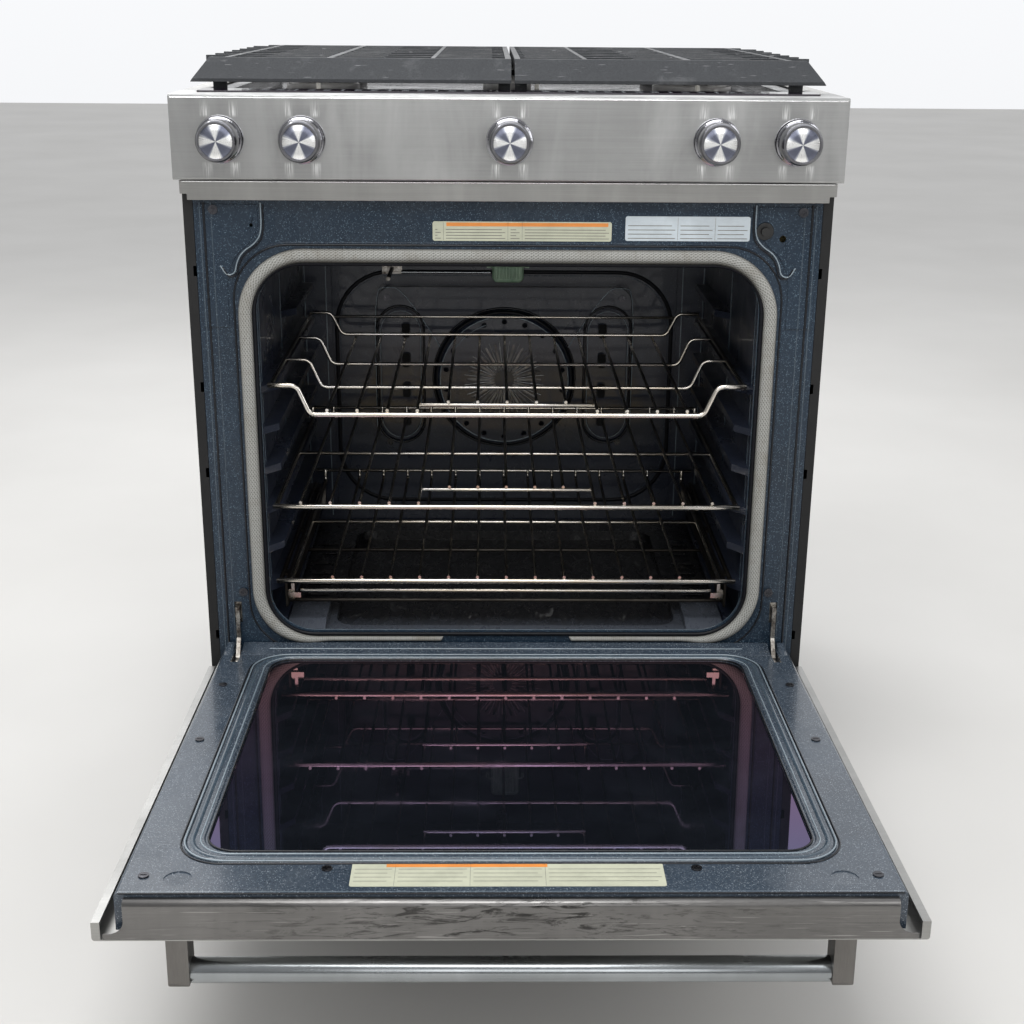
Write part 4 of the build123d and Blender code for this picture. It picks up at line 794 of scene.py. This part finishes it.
def cavity_relief():
    """Embossed field of the oven's back wall, ribs and pockets beside it, and the rings of the fan dome. Pale
    and steel beads on them are painted highlights; dark beads and black slot plates are painted shade.
    """
    bead("back_field", ring(256, 258, 621, 84, BACK + 2.4), 4.0, FINISHES["shade"], "range_body", True)
    bead("back_field_line", ring(250.5, 264, 615.5, 79, BACK - 0.1), 0.5, FINISHES["fold"], "range_body",
         True)
    # steel bead along the field's top edge: a painted highlight
    bead("back_field_top", [(-156, BACK - 2.2, 620.5), (-21, BACK - 2.2, 620.5)], 2.4, FINISHES["bar_steel"],
         "range_body")
    for side, word in ((-1, "left"), (1, "right")):
        back_ribs(side, word)
        pocket(side, word)
        for number, y in enumerate((30, 60, 250)):
            bead(f"wall_line_{word}_{number}", [(side * 305.6, y, 238), (side * 305.6, y, 700)], 0.7,
                 FINISHES["fold"], "range_body")
        # black plates in the pocket slots: painted shade in their openings
        for number, z in enumerate(SLOT_HEIGHTS):
            slot = [(side * 150 + 5.4 * a, FIELD + 0.3, z + 11 * b) for a, b in SQUARE]
            plate(f"pocket_slot_{word}_{number}", slot, FINISHES["black"], "range_body")
    fan_dome()


def back_ribs(side, word):
    """Upright ribs where the back wall meets the side wall; the two in paler enamel are painted highlights.
    """
    for number, (x, material) in enumerate(((271, FINISHES["edge_highlight"]), (303, FINISHES["edge_highlight"]),
                                            (262, MATERIALS["cavity_enamel"]))):
        bead(f"back_rib_{word}_{number}", [(side * x, BACK - 0.3, 232), (side * x, BACK - 0.3, 716)], 0.9,
             material, "range_body")


def pocket(side, word):
    """Long pressed pocket beside the fan: dark rim of painted shade, a pale inner line and the line that runs
    up round it, both painted highlights.
    """
    rim = []
    for centre, start in ((POCKET_HIGH, 0), (POCKET_LOW, 180)):
        for i in range(13):
            angle = math.radians(start + 15 * i)
            rim.append((side * POCKET_X + POCKET_R * math.cos(angle), FIELD + 0.1,
                        centre + POCKET_R * math.sin(angle)))
    bead(f"pocket_rim_{word}", rim, 2.0, FINISHES["groove_shade"], "range_body", True)
    middle = side * POCKET_X
    inner = [(middle + (x - middle) * 0.86, y - 0.2, POCKET_Z + (z - POCKET_Z) * 0.93) for x, y, z in rim]
    bead(f"pocket_light_{word}", inner, 0.6, FINISHES["edge_highlight"], "range_body", True)
    wing = softened(((-196, FIELD, 382), (-197, FIELD, 596), (-178, FIELD, 600), (-156, FIELD, 598),
                     (-104, FIELD, 520), (-98, FIELD, 508)))
    bead(f"pocket_line_{word}", wing if side < 0 else mirrored(wing), 0.8, FINISHES["edge_highlight"],
         "range_body")


def fan_dome():
    """Rings round the fan's dome, a gleam on its lower rim, and the ribs of its grille. The dark foot and the
    shade ring are painted shade, the pale rim and the gleam painted highlights.
    """
    dome = (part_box("fan_cover")[0][1] - FACE_Y) / MM
    for name, radius, y, size, finish in (("dome_foot", 108.5, FIELD, 1.8, "groove_shade"),
                                          ("dome_rim", 98.0, dome + 0.2, 1.0, "edge_highlight"),
                                          ("dome_shade", 103.0, dome + 6.5, 3.6, "shade")):
        bead(name, circle(radius, y), size, FINISHES[finish], "range_body", True)
    bead("dome_gleam", circle(89.0, dome + 0.1, 108, 152), 0.8, FINISHES["edge_highlight"], "range_body")
    for i in range(24):
        angle = math.radians(15 * i + 7.5)
        points = [(r * math.cos(angle), dome - 0.2, FAN_Z + r * math.sin(angle)) for r in (20, 42, 61)]
        bead(f"grille_rib_{i + 1}", points, 0.9, FINISHES["bar_steel"], "range_body")


def circle(radius, y, start=0.0, end=360.0, steps=72):
    """Points of a circle, or part of one, about the fan's axis."""
    turn = [math.radians(start + (end - start) * i / steps) for i in range(steps)]
    return [(radius * math.cos(a), y, FAN_Z + radius * math.sin(a)) for a in turn]


def plate(name, corners, material, body, turn=AS_IS):
    """Thin four-sided plate with its outline rounded by a bevel."""
    made = bmesh.new()
    face = made.faces.new([made.verts.new(turn @ at(*c)) for c in corners])
    made.normal_update()
    bmesh.ops.bevel(made, geom=list(face.verts), affect="VERTICES", offset=0.003, segments=4, profile=0.5)
    return finished(name, mesh_of(name, made, outward=False, smooth=False), material, body)


def lamp_flutes():
    """Upright ribs of the pressed lamp glass."""
    low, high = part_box("oven_lamp")
    middle = (low[0] + high[0]) / 2 / MM
    for i in range(9):
        x = middle + 5 * (i - 4)
        bead(f"lamp_rib_{i + 1}", [(x, 483.2, 613), (x, 483.2, 657)], 1.6, MATERIALS["lamp_glass"],
             "range_body")


DOOR_FACE, DOOR_BEAD, PANE = -10.5, -9.0, -14.8     # closed door: inner panel, raised bead, inner pane
RIM_PROFILE = ((-10.7, 216.5), (-9.8, 215.0), (-6.5, 204.0), (-3.4, 193.5), (-3.0, 191.2), (-3.4, 190.0),
               (-10.5, 189.8))              # depth and height of the sloping rim, from the window down


def door_relief():
    """Pressed lines round the door's window and along its edges, the pale ones painted highlights and the
    dark ones painted shade, and pale strips on the edge of its pane.
    """
    highlight_glaze, dark = FINISHES["edge_highlight"], FINISHES["groove_shade"]
    for name, points, size, material in (
            ("window_outer_line", ring(313.5, 217.5, 721, 42, DOOR_BEAD), 1.0, highlight_glaze),
            ("window_outer_shade", ring(317, 217, 724.5, 45, DOOR_FACE), 1.2, dark),
            ("window_inner_line", ring(299, 227, 708.5, 33, DOOR_BEAD), 0.9, highlight_glaze),
            ("window_channel", ring(306.5, 222.5, 715, 38, DOOR_BEAD - 2.3), 3.6, FINISHES["fold"]),
            ("window_inner_shade", ring(292, 231.5, 702, 29, DOOR_FACE + 0.5), 1.2, dark)):
        bead(name, points, size, material, "oven_door", True, DOOR_TURN)
    for number, (z, material) in enumerate(((772.6, highlight_glaze), (774.6, dark))):
        bead(f"door_line_{number}", [(-356, -11.2, z), (356, -11.2, z)], 0.8, material, "oven_door", False,
             DOOR_TURN)
    for number, (x0, x1) in enumerate(((-272, -140), (-128, 16), (28, 168), (180, 270))):
        corners = [(x0, PANE, 234.5), (x1, PANE, 234.5), (x1 - 2, PANE, 243), (x0 + 2, PANE, 243)]
        plate(f"glass_edge_{number + 1}", corners, FINISHES["pale"], "oven_door", DOOR_TURN)
    rear_rim()


def rear_rim():
    """Sloping rim of the inner panel along the hinge side, in three lengths that are open for the arms."""
    # pale line along the rim: a painted highlight
    bead("rim_line", [(-300, -6.5, 204.0), (300, -6.5, 204.0)], 0.8, FINISHES["edge_highlight"], "oven_door",
         False, DOOR_TURN)
    for number, (x0, x1) in enumerate(((-356, -346), (-334, 334), (346, 356))):
        made = bmesh.new()
        rows = []
        count = max(2, int((x1 - x0) / 20))
        for i in range(count + 1):
            x = x0 + (x1 - x0) * i / count
            rows.append([made.verts.new(DOOR_TURN @ at(x, y, z)) for y, z in RIM_PROFILE])
        for a, b in zip(rows, rows[1:]):
            for j in range(len(RIM_PROFILE) - 1):
                made.faces.new((a[j], a[j + 1], b[j + 1], b[j]))
        made.faces.new(list(reversed(rows[0])))
        made.faces.new(rows[-1])
        mesh = mesh_of(f"panel_rear_rim_{number + 1}", made)
        finished(mesh.name, mesh, FINISHES["door_enamel"], "oven_door")


FILM, INK = 0.30, 0.36                      # height of a label and of its print over the surface
LABEL_R = 2.5


def label(name, x0, x1, z0, z1, y, body, base, band, cells, turn=AS_IS):
    """Blank label: rounded film and its print. turn places it on the door, facing inwards."""
    towards = -1 if turn == AS_IS else 1
    outline = []
    for x, z, start in ((x1 - LABEL_R, z0 + LABEL_R, -90), (x1 - LABEL_R, z1 - LABEL_R, 0),
                        (x0 + LABEL_R, z1 - LABEL_R, 90), (x0 + LABEL_R, z0 + LABEL_R, 180)):
        for i in range(7):
            angle = math.radians(start + 15 * i)
            outline.append((x + LABEL_R * math.cos(angle), z + LABEL_R * math.sin(angle)))
    made = bmesh.new()
    front = [made.verts.new(turn @ at(x, y + FILM * towards, z)) for x, z in outline]
    rear = [made.verts.new(turn @ at(x, y, z)) for x, z in outline]
    made.faces.new(front)
    for i in range(len(outline)):
        j = (i + 1) % len(outline)
        made.faces.new((front[i], front[j], rear[j], rear[i]))
    finished(name, mesh_of(name, made, smooth=False), FINISHES[base], body)
    made = bmesh.new()
    for a, b, low, high, kind in label_print(x0, x1, z0, z1, band, cells, towards < 0):
        corners = [made.verts.new(turn @ at(x, y + INK * towards, z))
                   for x, z in ((a, low), (b, low), (b, high), (a, high))]
        made.faces.new(corners).material_index = kind
    ink = mesh_of(name + "_print", made, outward=False, smooth=False)
    piece = finished(name + "_print", ink, FINISHES["grey_ink"], body)
    piece.data.materials.append(FINISHES["orange"])


def label_print(x0, x1, z0, z1, band, cells, band_on_top):
    """Boxes (left, right, bottom, top, 1 if coloured) of a label's head band, dividers and blank rules."""
    boxes = []
    if band:
        head = (z1 - 5.5, z1 - 1.2) if band_on_top else (z0 + 1.2, z0 + 7.5)
        boxes.append((x0 + band[0], x0 + band[1], *head, 1))
    width = x1 - x0
    for share in cells:
        x = x0 + share * width
        boxes.append((x - 0.2, x + 0.2, z0 + 1, z1 - 1, 0))
    first, spare = (2.6, 9) if band_on_top else (10.6, 13)
    for row in range(4):
        z = z0 + first + row * (z1 - z0 - spare) / 4
        for a, b in zip((0.0, *cells), (*cells, 1.0)):
            boxes.append((x0 + a * width + 3, x0 + b * width - 3 - 4 * (row % 2), z, z + 0.9, 0))
    return boxes


def labels():
    """Three blank labels: two on the frame over the seal, one on the door near its free end."""
    label("label_frame_left", -89, 120, 743, 765.5, 0.0, "range_body", "cream", (16, 205), (0.06, 0.42, 0.5))
    label("label_frame_right", 136, 282, 744, 772.5, 0.0, "range_body", "white", None, (0.42, 0.72))
    label("label_door", -149, 141, 723.5, 764.5, -10.5, "oven_door", "cream", (32, 182), (0.14, 0.38, 0.62),
          DOOR_TURN)


def touch_marks():
    """Small pale marks of the touch controls: short bars and dots only."""
    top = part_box("touch_glass")[1][2] + 0.00008
    made = bmesh.new()
    for i in range(34):
        x = -0.30 + 0.018 * i
        if 14 < i < 19:
            continue
        wide, deep = (0.0042, 0.0009) if i % 3 else (0.0016, 0.0016)
        for y in (0.028, 0.043):
            place = y + FACE_Y
            made.faces.new([made.verts.new((x + a * wide, place + b * deep, top)) for a, b in SQUARE])
    mesh = mesh_of("touch_marks", made, outward=False, smooth=False)
    finished("touch_marks", mesh, FINISHES["white"], "range_body")


# ---- studio ----
AIM = Vector((0, -0.2, 0.55))
LIGHTS = (                                  # name, place, size and watts
    ("key", (-0.5, -1.5, 3.2), (2.6, 1.8), 80),
    ("side", (2.6, -1.6, 1.9), (1.0, 2.0), 20),
    ("low", (0.1, -3.2, 1.35), (2.6, 1.0), 16),
    ("rear", (-0.6, 2.4, 2.8), (2.6, 1.2), 45),
)
FLOOR_HALF = 14.0


def make_world():
    """Soft world that is brighter above and behind the range."""
    scene = bpy.context.scene
    scene.view_settings.view_transform = "Standard"
    world = bpy.data.worlds.new("world")
    scene.world = world
    world.use_nodes = True
    tree = world.node_tree
    back = tree.nodes["Background"]
    place = tree.nodes.new("ShaderNodeTexCoord")
    split = tree.nodes.new("ShaderNodeSeparateXYZ")
    tree.links.new(place.outputs["Generated"], split.inputs[0])
    both = tree.nodes.new("ShaderNodeMath")
    for number, (axis, low, high, start, end) in enumerate((("Y", -0.2, 0.5, 0.0, 0.70),
                                                            ("Z", -0.1, 0.9, 0.24, 0.55))):
        node = tree.nodes.new("ShaderNodeMapRange")
        tree.links.new(split.outputs[axis], node.inputs["Value"])
        for socket, value in (("From Min", low), ("From Max", high), ("To Min", start), ("To Max", end)):
            node.inputs[socket].default_value = value
        tree.links.new(node.outputs[0], both.inputs[number])
    tree.links.new(both.outputs[0], back.inputs["Strength"])
    back.inputs["Color"].default_value = (0.97, 0.98, 1.0, 1)


def make_floor():
    """Large pale floor under the range."""
    mesh = bpy.data.meshes.new("floor")
    mesh.from_pydata([(FLOOR_HALF * x, FLOOR_HALF * y, 0) for x, y in SQUARE], [], [(0, 1, 2, 3)])
    floor = bpy.data.objects.new("floor", mesh)
    bpy.context.scene.collection.objects.link(floor)
    p = Paint("floor", Roughness=0.65)
    p.set(Base_Color=p.ramp(p.cloud(1.5, 4), [(0.3, (0.56, 0.55, 0.53)), (0.7, (0.61, 0.60, 0.58))]))
    mesh.materials.append(p.material)


def make_lights():
    """A large key light from above and weak fills, all turned to the oven's mouth."""
    for name, spot, area, watts in LIGHTS:
        light = bpy.data.lights.new(name, "AREA")
        light.shape = "RECTANGLE"
        light.size, light.size_y = area
        light.energy = watts
        lamp = bpy.data.objects.new(name, light)
        lamp.location = spot
        lamp.rotation_euler = (AIM - Vector(spot)).to_track_quat("-Z", "Y").to_euler()
        bpy.context.scene.collection.objects.link(lamp)


make_camera()
dress_cad()
darken_outer_pane()
gasket()
knob_faces()
frame_relief()
cavity_relief()
lamp_flutes()
console_edges()
door_relief()
labels()
touch_marks()
make_world()
make_floor()
make_lights()
